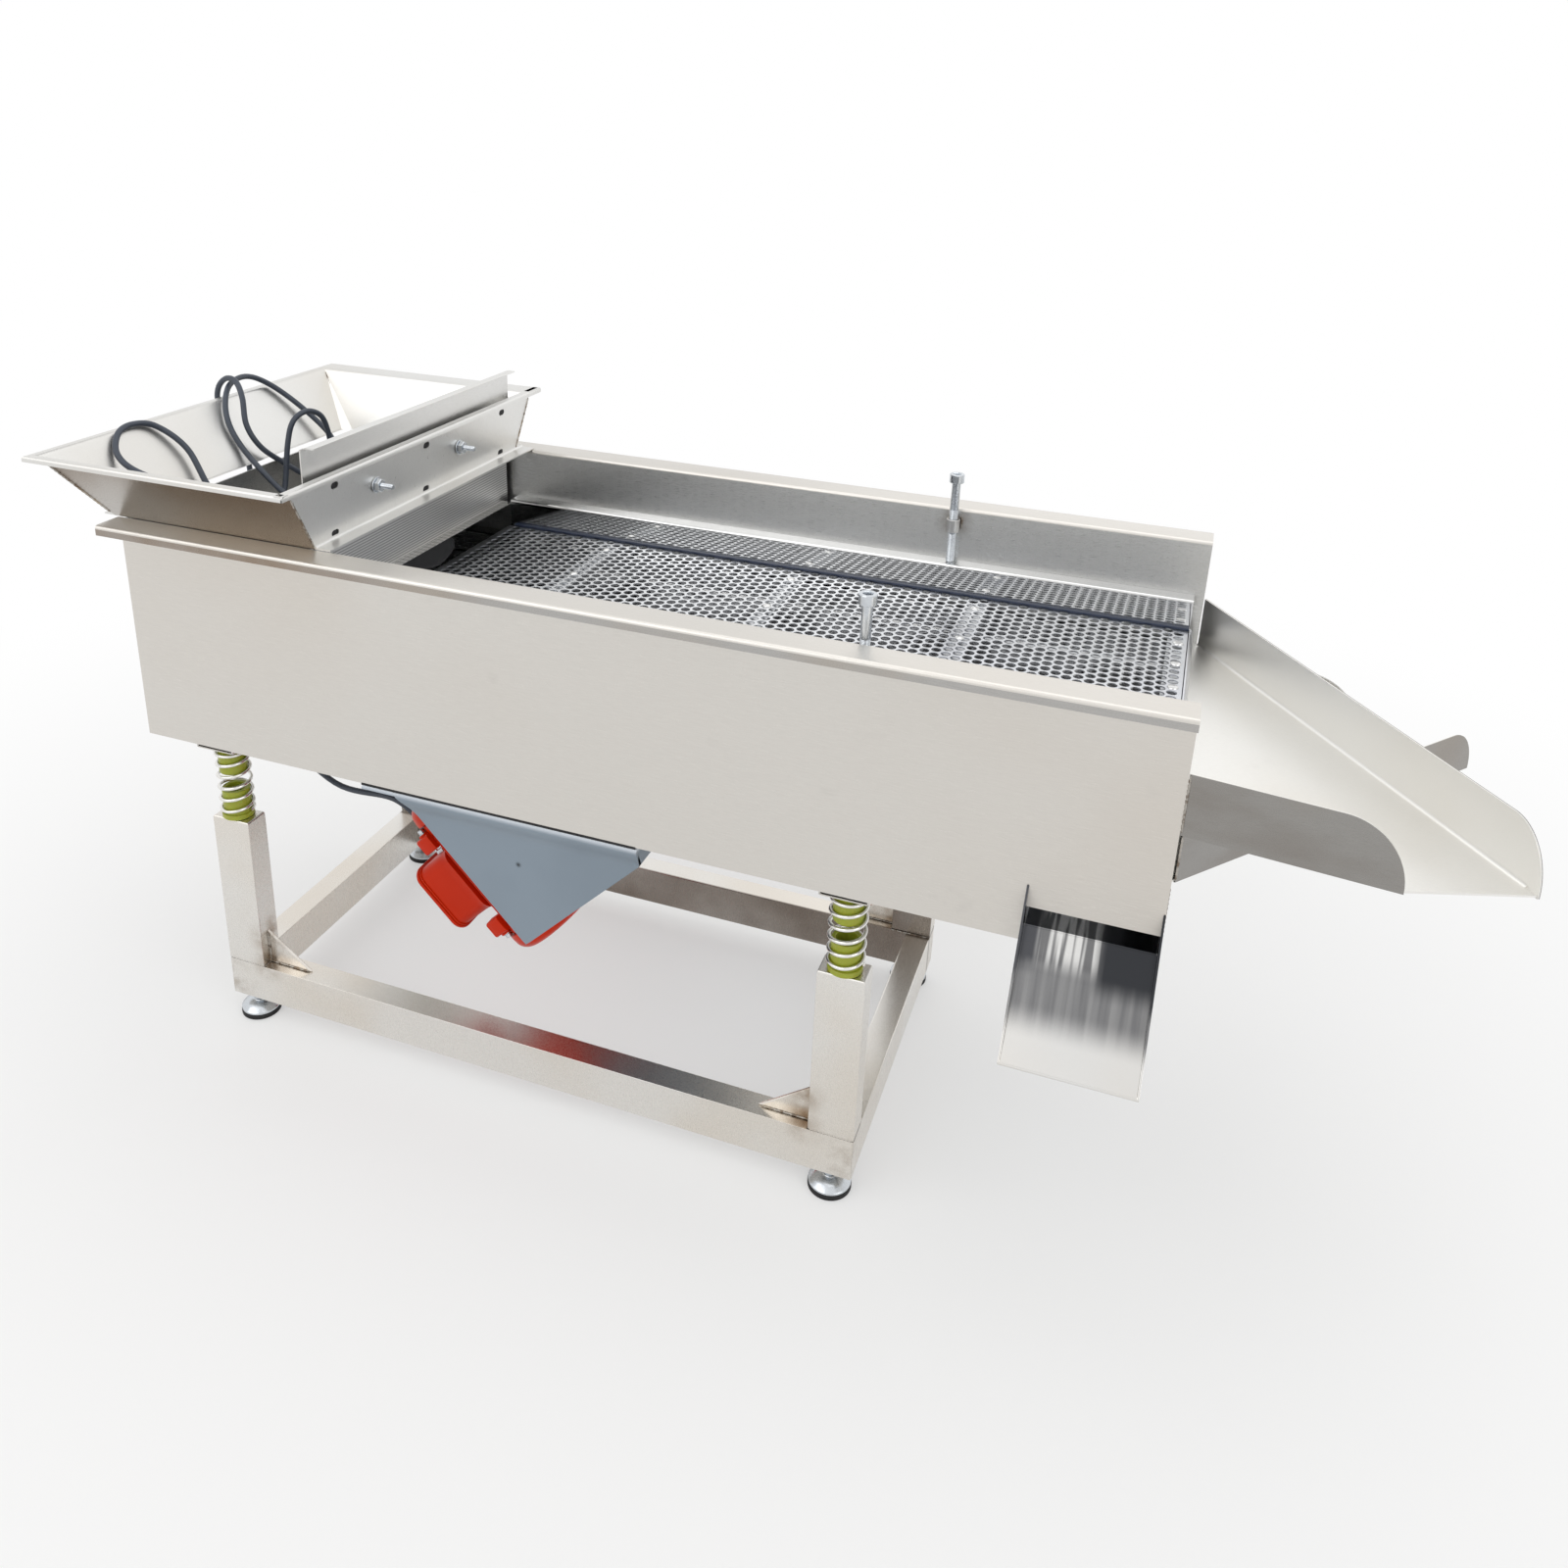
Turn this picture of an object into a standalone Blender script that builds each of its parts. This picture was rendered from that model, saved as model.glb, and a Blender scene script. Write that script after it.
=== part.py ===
"""Linear vibrating sieve: hopper, perforated decks, skewed chutes, spring-borne trough, twin vibration motors.

Metres, +Z up. +X runs along the trough from the hopper to the large chutes, -Y is the front with the
fines chute. Pieces are placed under one empty whose own X is measured from the hopper's left rim, whose
Y is zero on the trough's middle plane and whose Z is zero on the floor.
"""
import math

import bmesh
import bpy
from mathutils import Matrix, Vector

# Fits
GAP = 0.0003
RUN_CLEARANCE = 0.0004
WELD_OVERLAP = 0.001
CUT_OVERRUN = 0.003

# Sheet
SHEET = 0.002
THIN_SHEET = 0.0015

# Overall
OVERALL_LENGTH = 1.465
RIM_HEIGHT = 0.715
HOPPER_WIDTH = 0.525
FINES_REACH = 0.300

# Base frame
FRAME_START = 0.1344
FRAME_LENGTH = 0.7888
FRAME_WIDTH = 0.3964
RAIL_HEIGHT = 0.050
RAIL_WIDTH = 0.030
TUBE_WALL = 0.002
POST_LENGTH = 0.050
GUSSET_LENGTH = 0.060
GUSSET_HEIGHT = 0.045
GUSSET_THICKNESS = 0.004

# Levelling feet
FOOT_HEIGHT = 0.0284
FOOT_INSET = 0.026
PAD_RADIUS = 0.0235
PAD_HEIGHT = 0.006
CUP_RADIUS = 0.0222
CUP_RIM_HEIGHT = 0.0032
CUP_SHOULDER_RADIUS = 0.0180
CUP_SHOULDER_HEIGHT = 0.0062
CUP_NECK_RADIUS = 0.0085
CUP_NECK_HEIGHT = 0.0092
STEM_RADIUS = 0.005
STEM_SOCKET = 0.020
NUT_ACROSS = 0.015
NUT_HEIGHT = 0.008

# Springs and their plugs
PLUG_DISC_RADIUS = 0.018
PLUG_DISC_HEIGHT = 0.006
PLUG_TUBE_RADIUS = 0.0158
PLUG_BORE_RADIUS = 0.011
PLUG_HEIGHT = 0.036
SPRING_LENGTH = 0.0823
SPRING_RADIUS = 0.018
SPRING_WIRE = 0.004
SPRING_END_PITCH = 0.0043
SPRING_TURNS = 6.3
SPRING_END_TURNS = 0.75

# Trough
TROUGH_START = 0.070
TROUGH_LENGTH = 1.1145
TROUGH_WIDTH = 0.4236
BEAM_HEIGHT = 0.0204
BEAM_WIDTH = 0.050
PANEL_SKIRT = 0.015
PANEL_HEIGHT = 0.2635
FLANGE_REACH = 0.0347
LIP_HEIGHT = 0.011
LEFT_WALL_DROP = 0.004
RIGHT_WALL_HEIGHT = 0.072
FINES_START = 0.9955
FINES_SLOT = 0.0193

# Decks
DECK_DEPTH = 0.0975
DECK_SPACING = 0.048
DECK_SIDE = 0.190
DECK_SIDE_RISE = 0.034
LOWER_SIDE_RISE = 0.030
DECK_START = 0.290
DECK_SIDES_START = 0.322
DECK_END = 1.174
DECK_LIP_RUN = 0.006
DECK_LIP_DROP = 0.020
LOWER_DECK_START = 0.075
SCREEN_MARGIN = 0.014
HOLE_RADIUS = 0.0215
HOLE_FIELD_START = 0.330
SCREEN_COLUMNS = 15
SCREEN_ROWS = 6
LOWER_COLUMNS = 10
LOWER_ROWS = 4
LOWER_HOLE_RADIUS = 0.030
SEAL_WIDTH = 0.0065
SEAL_HEIGHT = 0.003

# Feed pan
FEED_DEPTH = 0.0665
FEED_START = 0.0745
FEED_END = 0.3085
FEED_HALF_WIDTH = 0.200
FEED_TOP_CLEARANCE = 0.0035

# Hopper
HOPPER_LENGTH = 0.330
HOPPER_HEIGHT = 0.0712
HOPPER_SHEET = 0.0015
RIM_WIDTH = 0.010
BACK_RIM_WIDTH = 0.030
RIM_LIP = 0.006
OUTLET_START = 0.064
OUTLET_END = 0.3245
OUTLET_FRONT = 0.212
OUTLET_BACK = 0.199
HOPPER_FOOT = 0.018
LEFT_FOOT = 0.014
BACK_FOOT = 0.018
WALL_HOLE_LENGTH = 0.012
WALL_HOLE_HEIGHT = 0.007
WALL_HOLE_PITCH = 0.170
WALL_HOLE_OFFSET = -0.009
UPPER_HOLE_DROP = 0.0112
LOWER_HOLE_RISE = 0.0078
STUD_PITCH = 0.168
STUD_OFFSET = -0.023
STUD_DROP = 0.031
STUD_RADIUS = 0.003
STUD_REACH = 0.022
STUD_NUT_ACROSS = 0.011
STUD_NUT_HEIGHT = 0.006
STUD_HEAD_RADIUS = 0.006
STUD_HEAD_HEIGHT = 0.003

# Feed gate
GATE_PLACE = 0.312
GATE_HALF_WIDTH = 0.207
GATE_FOOT_HALF_WIDTH = 0.1975
GATE_RISE = 0.032
GATE_OPENING = 0.035
GATE_LIP = 0.011
GATE_NOTCH = 0.006
GATE_TRAVEL = 0.030
GATE_SHOULDER_CLEARANCE = 0.026

# Clamp screws
CLAMP_PLACE = 0.900
CLAMP_LINE = 0.200
CLAMP_RADIUS = 0.005
CLAMP_HEAD_RADIUS = 0.0085
CLAMP_HEAD_HEIGHT = 0.010
CLAMP_SOCKET_RADIUS = 0.004
CLAMP_SOCKET_DEPTH = 0.005
CLAMP_LENGTH = 0.107
SLEEVE_RADIUS = 0.008
SLEEVE_HEIGHT = 0.015
SLEEVE_DROP = 0.0105

# Large chutes
CHUTE_DROP = 0.1218
CHUTE_FALL = 0.020
CHUTE_SHORT_LENGTH = 0.1735
CHUTE_TIP_LENGTH = 0.2805
CHUTE_TIP_INSET = 0.0498
CHUTE_SHORT_WALL = 0.0555
CHUTE_SHORT_STRAIGHT = 0.120
CHUTE_LONG_WALL = 0.0555
CHUTE_NOSE_LENGTH = 0.040
CHUTE_TUCK = 0.008
MIDDLE_DROP = 0.048
MIDDLE_WALL = 0.0435

# Fines chute
FINES_DROP = 0.084
FINES_WALL_RISE = 0.042

# Motor bracket
BRACKET_START = 0.357
BRACKET_END = 0.683
BRACKET_TOP_THICKNESS = 0.007
BRACKET_PLATE = 0.005
BRACKET_HALF_WIDTH = 0.203
BRACKET_LEFT = 0.399
BRACKET_DEPTH = 0.1537
BRACKET_POINT = 0.549
BRACKET_RIGHT_DEPTH = 0.020
MOUNT_PLATE = 0.008
MOUNT_PLATE_START = 0.078
MOUNT_PLATE_END = 0.086

# Vibration motors
MOTOR_PLACE = 0.4698
MOTOR_DROP = 0.1155
MOTOR_SPREAD = 0.112
MOTOR_TILT_DEG = 45.0
HOUSING_RADIUS = 0.051
HOUSING_BORE = 0.040
HOUSING_LENGTH = 0.160
COVER_RADIUS = 0.047
COVER_DEPTH = 0.025
COVER_WALL = 0.004
COVER_OUTER_SHARES = ((1, 0), (1, 0.4), (0.9, 0.76), (0.68, 1))
COVER_INNER_SHARES = ((0.64, 1), (0.94, 0.6), (1, 0))
SHIELD_PLACE = 0.049
SHIELD_THICKNESS = 0.006
SHAFT_RADIUS = 0.010
SHAFT_LENGTH = 0.166
CORE_RADIUS = 0.034
CORE_LENGTH = 0.084
WEIGHT_RADIUS = 0.036
WEIGHT_THICKNESS = 0.020
WEIGHT_START = 0.056
FOOT_PLANE = 0.062
FOOT_WIDTH = 0.125
FOOT_LENGTH = 0.136
FOOT_THICKNESS = 0.014
FOOT_WEB_WIDTH = 0.076
BOX_LENGTH = 0.089
BOX_WIDTH = 0.070
BOX_REACH = 0.092
BOX_ROOT = 0.038
LID_REACH = 0.098
LID_OVERHANG = 0.003
EAR_PLACE = 0.058
EAR_LENGTH = 0.026
EAR_SPREAD = 0.043
EAR_WIDTH = 0.020
EAR_DEPTH = 0.052
GLAND_DEPTH = 0.068
GLAND_RADIUS = 0.0085
GLAND_LENGTH = 0.014

# Cords
CORD_RADIUS = 0.0035
CORD_BEND_REACH = 0.040
PLUG_BODY_LENGTH = 0.045
PLUG_BODY_RADIUS = 0.012
PLUG_NECK_RADIUS = 0.006
PLUG_PIN_LENGTH = 0.016
PLUG_PIN_RADIUS = 0.0045

# Facets
ROUND_SIDES = 16
SMALL_SIDES = 12
SPRING_STEPS_PER_TURN = 12
SPRING_SIDES = 5
CORD_POINTS = 78

# Derived heights, from the floor up to the posts and from the hopper's rim down to them
RAIL_BOTTOM = FOOT_HEIGHT
RAIL_TOP = RAIL_BOTTOM + RAIL_HEIGHT
POST_BOTTOM = RAIL_TOP + GAP
HOPPER_TOP = RIM_HEIGHT
HOPPER_BOTTOM = HOPPER_TOP - HOPPER_HEIGHT
PANEL_TOP = HOPPER_BOTTOM - GAP
PANEL_BOTTOM = PANEL_TOP - PANEL_HEIGHT
FLOOR_BOTTOM = PANEL_BOTTOM + PANEL_SKIRT
FLOOR_TOP = FLOOR_BOTTOM + SHEET
BEAM_TOP = FLOOR_BOTTOM - GAP
BEAM_BOTTOM = BEAM_TOP - BEAM_HEIGHT
UPPER_PLUG_TOP = BEAM_BOTTOM - GAP
SPRING_TOP = UPPER_PLUG_TOP - PLUG_DISC_HEIGHT - GAP
SPRING_BOTTOM = SPRING_TOP - SPRING_LENGTH
PLUG_BOTTOM = SPRING_BOTTOM - GAP - PLUG_DISC_HEIGHT
POST_TOP = PLUG_BOTTOM - GAP
POST_HEIGHT = POST_TOP - POST_BOTTOM
DECK_TOP = PANEL_TOP - DECK_DEPTH
LOWER_DECK_TOP = DECK_TOP - DECK_SPACING
FEED_TOP = PANEL_TOP - FEED_DEPTH
BRACKET_TOP = PANEL_BOTTOM - GAP
MOTOR_AXIS_HEIGHT = BRACKET_TOP - MOTOR_DROP

# Derived lengths
TROUGH_END = TROUGH_START + TROUGH_LENGTH
HALF_TROUGH = TROUGH_WIDTH / 2
PANEL_INNER = HALF_TROUGH - SHEET
POST_LINE = FRAME_WIDTH / 2 - RAIL_WIDTH / 2
POST_LEFT = FRAME_START + POST_LENGTH / 2
POST_RIGHT = FRAME_START + FRAME_LENGTH - POST_LENGTH / 2


def clear_scene():
    for item in list(bpy.data.objects):
        bpy.data.objects.remove(item, do_unlink=True)


def material(name, color, roughness, metallic):
    made = bpy.data.materials.new(name)
    made.use_nodes = True
    shader = made.node_tree.nodes["Principled BSDF"]
    shader.inputs["Base Color"].default_value = (*color, 1)
    shader.inputs["Roughness"].default_value = roughness
    shader.inputs["Metallic"].default_value = metallic
    made.diffuse_color = (*color, 1)
    return made


def finish_mesh(name, verts, faces, mat, smooth=False):
    mesh = bpy.data.meshes.new(name)
    work = bmesh.new()
    made = [work.verts.new(v) for v in verts]
    for face in faces:
        work.faces.new([made[i] for i in face])
    bmesh.ops.recalc_face_normals(work, faces=work.faces)
    if work.calc_volume(signed=True) < 0:
        bmesh.ops.reverse_faces(work, faces=work.faces)
    work.to_mesh(mesh)
    work.free()
    mesh.materials.append(mat)
    if smooth:
        mesh.shade_smooth()
        mesh.set_sharp_from_angle(angle=math.radians(40))
    return mesh


def add_object(name, mesh, place=(0, 0, 0), turn=(0, 0, 0)):
    made = bpy.data.objects.new(name, mesh)
    bpy.context.scene.collection.objects.link(made)
    made.parent = SIEVE
    made.location = place
    made.rotation_euler = turn
    return made


def ring_mesh(name, rings, mat, closed=False, smooth=False):
    """Skin over rings of equal point counts: closed on itself, or capped at its first and last ring."""
    size = len(rings[0])
    verts = [point for ring in rings for point in ring]
    faces = []
    spans = len(rings) if closed else len(rings) - 1
    for r in range(spans):
        here = r * size
        there = ((r + 1) % len(rings)) * size
        for i in range(size):
            j = (i + 1) % size
            faces.append((here + i, here + j, there + j, there + i))
    if not closed:
        faces.append(tuple(range(size)))
        last = (len(rings) - 1) * size
        faces.append(tuple(last + i for i in range(size)))
    return finish_mesh(name, verts, faces, mat, smooth)


def prism(name, outline, along, low, high, mat):
    """Outline in the plane across one axis, extruded along that axis from low to high."""
    def point(pair, depth):
        a, b = pair
        if along == "X":
            return (depth, a, b)
        if along == "Y":
            return (a, depth, b)
        return (a, b, depth)
    rings = [[point(pair, low) for pair in outline], [point(pair, high) for pair in outline]]
    return ring_mesh(name, rings, mat)


def box(name, low, high, mat):
    outline = [(low[0], low[1]), (high[0], low[1]), (high[0], high[1]), (low[0], high[1])]
    return prism(name, outline, "Z", low[2], high[2], mat)


def circle(radius, height, sides, centre=(0, 0)):
    return [(centre[0] + radius * math.cos(math.tau * i / sides),
             centre[1] + radius * math.sin(math.tau * i / sides), height) for i in range(sides)]


def hexagon(across, height, sides):
    """Hexagon drawn with as many points as the round rings beside it."""
    ring = []
    for i in range(sides):
        angle = math.tau * i / sides
        off = (angle + math.pi / 6) % (math.pi / 3) - math.pi / 6
        radius = across / 2 / math.cos(off)
        ring.append((radius * math.cos(angle), radius * math.sin(angle), height))
    return ring


def turned(name, profile, sides, mat, closed=False):
    """Profile of (radius, height) pairs turned about Z. A pair with a third item is a hexagon's width."""
    rings = []
    for item in profile:
        if len(item) == 3:
            rings.append(hexagon(item[0], item[1], sides))
        else:
            rings.append(circle(item[0], item[1], sides))
    return ring_mesh(name, rings, mat, closed=closed, smooth=True)


def rectangle(x0, x1, y, z):
    return [(x0, -y, z), (x1, -y, z), (x1, y, z), (x0, y, z)]


def turn_mesh(mesh, matrix):
    mesh.transform(matrix)
    mesh.update()
    return mesh


def combine(target, tools, operation):
    """Boolean each tool into the target, then keep the cut mesh and drop the tools."""
    for tool in tools:
        change = target.modifiers.new(operation.title(), "BOOLEAN")
        change.operation = operation
        change.solver = "EXACT"
        change.object = tool
    bpy.context.view_layer.update()
    graph = bpy.context.evaluated_depsgraph_get()
    made = bpy.data.meshes.new_from_object(target.evaluated_get(graph))
    target.modifiers.clear()
    target.data = made
    for tool in tools:
        bpy.data.objects.remove(tool, do_unlink=True)
    return target


def union(target, tools):
    return combine(target, tools, "UNION")


def cut(target, tools):
    return combine(target, tools, "DIFFERENCE")


def joined(name, meshes, mat):
    """Several separate closed shells in one cutter."""
    work = bmesh.new()
    for mesh in meshes:
        work.from_mesh(mesh)
    made = bpy.data.meshes.new(name)
    work.to_mesh(made)
    work.free()
    made.materials.append(mat)
    return made


def smooth_path(route, count):
    """Points along a Catmull-Rom curve through the route, closer together where it bends."""
    dense = []
    steps = 24
    for k in range(len(route) - 1):
        p0 = Vector(route[max(k - 1, 0)])
        p1 = Vector(route[k])
        p2 = Vector(route[k + 1])
        p3 = Vector(route[min(k + 2, len(route) - 1)])
        for s in range(steps):
            t = s / steps
            dense.append(0.5 * (2 * p1 + (p2 - p0) * t + (2 * p0 - 5 * p1 + 4 * p2 - p3) * t * t
                                + (3 * p1 - p0 - 3 * p2 + p3) * t * t * t))
    dense.append(Vector(route[-1]))
    lengths = [0]
    before = dense[1] - dense[0]
    for a, b in zip(dense, dense[1:]):
        step = b - a
        lengths.append(lengths[-1] + step.length + CORD_BEND_REACH * before.angle(step))
        before = step
    points = []
    k = 0
    for i in range(count):
        goal = lengths[-1] * i / (count - 1)
        while k < len(dense) - 2 and lengths[k + 1] < goal:
            k += 1
        part = (goal - lengths[k]) / max(lengths[k + 1] - lengths[k], GAP * GAP)
        points.append(dense[k].lerp(dense[k + 1], min(max(part, 0), 1)))
    return points


def cord(name, route, count, mat):
    curve = bpy.data.curves.new(name, "CURVE")
    curve.dimensions = "3D"
    curve.bevel_depth = CORD_RADIUS
    curve.bevel_resolution = 2
    curve.use_fill_caps = True
    points = smooth_path(route, count)
    spline = curve.splines.new("POLY")
    spline.points.add(len(points) - 1)
    for slot, point in zip(spline.points, points):
        slot.co = (*point, 1)
    curve.materials.append(mat)
    return add_object(name, curve)


def make_frame():
    half = FRAME_WIDTH / 2
    wall = TUBE_WALL

    def mitred(length, name):
        """Rail along X, outer face at -Y, mitred at both ends, hollow and open at the mitres."""
        rings = []
        for end in (-1, 1):
            ring = []
            for y, z in ((0, 0), (RAIL_WIDTH, 0), (RAIL_WIDTH, RAIL_HEIGHT), (0, RAIL_HEIGHT)):
                ring.append((end * (length / 2 - y - GAP), y, z))
            rings.append(ring)
        for end in (1, -1):
            ring = []
            for y, z in ((wall, wall), (RAIL_WIDTH - wall, wall),
                         (RAIL_WIDTH - wall, RAIL_HEIGHT - wall), (wall, RAIL_HEIGHT - wall)):
                ring.append((end * (length / 2 - y - GAP), y, z))
            rings.append(ring)
        return ring_mesh(name, rings, STEEL_FRAME, closed=True)

    middle = FRAME_START + FRAME_LENGTH / 2
    for name, side, turn in (("front_rail", -half, 0), ("back_rail", half, math.pi)):
        rail = add_object(name, mitred(FRAME_LENGTH, name), (middle, side, RAIL_BOTTOM), (0, 0, turn))
        drills = []
        for k in (-1, 1):
            tool = turned("stem_drill", [(STEM_RADIUS + RUN_CLEARANCE, -CUT_OVERRUN),
                                         (STEM_RADIUS + RUN_CLEARANCE, wall + CUT_OVERRUN)],
                          SMALL_SIDES, STEEL_FRAME)
            place = (middle + k * (FRAME_LENGTH / 2 - FOOT_INSET), math.copysign(POST_LINE, side), RAIL_BOTTOM)
            drills.append(add_object("stem_drill", tool, place))
        cut(rail, drills)
    add_object("left_rail", mitred(FRAME_WIDTH, "left_rail"), (FRAME_START, 0, RAIL_BOTTOM),
               (0, 0, -math.pi / 2))
    add_object("right_rail", mitred(FRAME_WIDTH, "right_rail"), (FRAME_START + FRAME_LENGTH, 0, RAIL_BOTTOM),
               (0, 0, math.pi / 2))

    a = POST_LENGTH / 2
    b = RAIL_WIDTH / 2
    rings = [
        [(-a + wall, -b + wall, POST_HEIGHT - wall), (a - wall, -b + wall, POST_HEIGHT - wall),
         (a - wall, b - wall, POST_HEIGHT - wall), (-a + wall, b - wall, POST_HEIGHT - wall)],
        [(-a + wall, -b + wall, 0), (a - wall, -b + wall, 0), (a - wall, b - wall, 0), (-a + wall, b - wall, 0)],
        [(-a, -b, 0), (a, -b, 0), (a, b, 0), (-a, b, 0)],
        [(-a, -b, POST_HEIGHT), (a, -b, POST_HEIGHT), (a, b, POST_HEIGHT), (-a, b, POST_HEIGHT)],
    ]
    for name, x, side in (("post_front_left", POST_LEFT, -1), ("post_front_right", POST_RIGHT, -1),
                          ("post_back_left", POST_LEFT, 1), ("post_back_right", POST_RIGHT, 1)):
        turn = 0 if x == POST_LEFT else math.pi
        post = add_object(name, ring_mesh(name, rings, STEEL_FRAME), (x, side * POST_LINE, POST_BOTTOM),
                          (0, 0, turn))
        web = [(a - WELD_OVERLAP, 0), (a + GUSSET_LENGTH, 0), (a - WELD_OVERLAP, GUSSET_HEIGHT)]
        gusset = add_object("gusset", prism("gusset", web, "Y", -GUSSET_THICKNESS / 2, GUSSET_THICKNESS / 2,
                                            STEEL_FRAME), (x, side * POST_LINE, POST_BOTTOM), (0, 0, turn))
        union(post, [gusset])


def make_feet():
    nut_bottom = FOOT_HEIGHT - GAP - NUT_HEIGHT
    base = PAD_HEIGHT + GAP
    cup = turned("foot", [
        (CUP_RADIUS, base), (CUP_RADIUS, base + CUP_RIM_HEIGHT),
        (CUP_SHOULDER_RADIUS, base + CUP_SHOULDER_HEIGHT), (CUP_NECK_RADIUS, base + CUP_NECK_HEIGHT),
        (STEM_RADIUS, base + CUP_NECK_HEIGHT + GAP), (STEM_RADIUS, nut_bottom),
        (NUT_ACROSS, nut_bottom + GAP, "hex"), (NUT_ACROSS, nut_bottom + NUT_HEIGHT, "hex"),
        (STEM_RADIUS, nut_bottom + NUT_HEIGHT), (STEM_RADIUS, FOOT_HEIGHT + STEM_SOCKET),
    ], SMALL_SIDES, ZINC)
    pad = turned("foot_pad", [(PAD_RADIUS - SHEET / 2, 0), (PAD_RADIUS, SHEET / 2),
                              (PAD_RADIUS, PAD_HEIGHT - SHEET / 2), (CUP_RADIUS, PAD_HEIGHT)],
                 ROUND_SIDES, RUBBER)
    near = FRAME_START + FOOT_INSET
    far = FRAME_START + FRAME_LENGTH - FOOT_INSET
    for label, x, y in (("front_left", near, -POST_LINE), ("front_right", far, -POST_LINE),
                        ("back_left", near, POST_LINE), ("back_right", far, POST_LINE)):
        add_object("foot_" + label, cup, (x, y, 0))
        add_object("foot_pad_" + label, pad, (x, y, 0))


def make_springs():
    plug = turned("plug", [(PLUG_DISC_RADIUS, 0), (PLUG_DISC_RADIUS, PLUG_DISC_HEIGHT),
                           (PLUG_TUBE_RADIUS, PLUG_DISC_HEIGHT), (PLUG_TUBE_RADIUS, PLUG_HEIGHT),
                           (PLUG_BORE_RADIUS, PLUG_HEIGHT), (PLUG_BORE_RADIUS, PLUG_DISC_HEIGHT / 2)],
                  SMALL_SIDES, URETHANE)
    rings = []
    steps = round(SPRING_TURNS * SPRING_STEPS_PER_TURN)
    end_rise = SPRING_END_TURNS * SPRING_END_PITCH
    rise = SPRING_LENGTH - SPRING_WIRE
    for i in range(steps + 1):
        turns = SPRING_TURNS * i / steps
        if turns < SPRING_END_TURNS:
            height = turns * SPRING_END_PITCH
        elif turns > SPRING_TURNS - SPRING_END_TURNS:
            height = rise - (SPRING_TURNS - turns) * SPRING_END_PITCH
        else:
            share = (turns - SPRING_END_TURNS) / (SPRING_TURNS - 2 * SPRING_END_TURNS)
            height = end_rise + share * (rise - 2 * end_rise)
        angle = math.tau * turns
        ring = []
        for k in range(SPRING_SIDES):
            around = math.tau * k / SPRING_SIDES
            reach = SPRING_RADIUS + SPRING_WIRE / 2 * math.cos(around)
            ring.append((reach * math.cos(angle), reach * math.sin(angle),
                         SPRING_WIRE / 2 + height + SPRING_WIRE / 2 * math.sin(around)))
        rings.append(ring)
    coil = ring_mesh("spring", rings, SPRING_STEEL, smooth=True)
    for label, x, y in (("front_left", POST_LEFT, -POST_LINE), ("front_right", POST_RIGHT, -POST_LINE),
                        ("back_left", POST_LEFT, POST_LINE), ("back_right", POST_RIGHT, POST_LINE)):
        add_object("lower_plug_" + label, plug, (x, y, PLUG_BOTTOM))
        add_object("spring_" + label, coil, (x, y, SPRING_BOTTOM))
        add_object("upper_plug_" + label, plug, (x, y, UPPER_PLUG_TOP), (math.pi, 0, 0))


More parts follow.
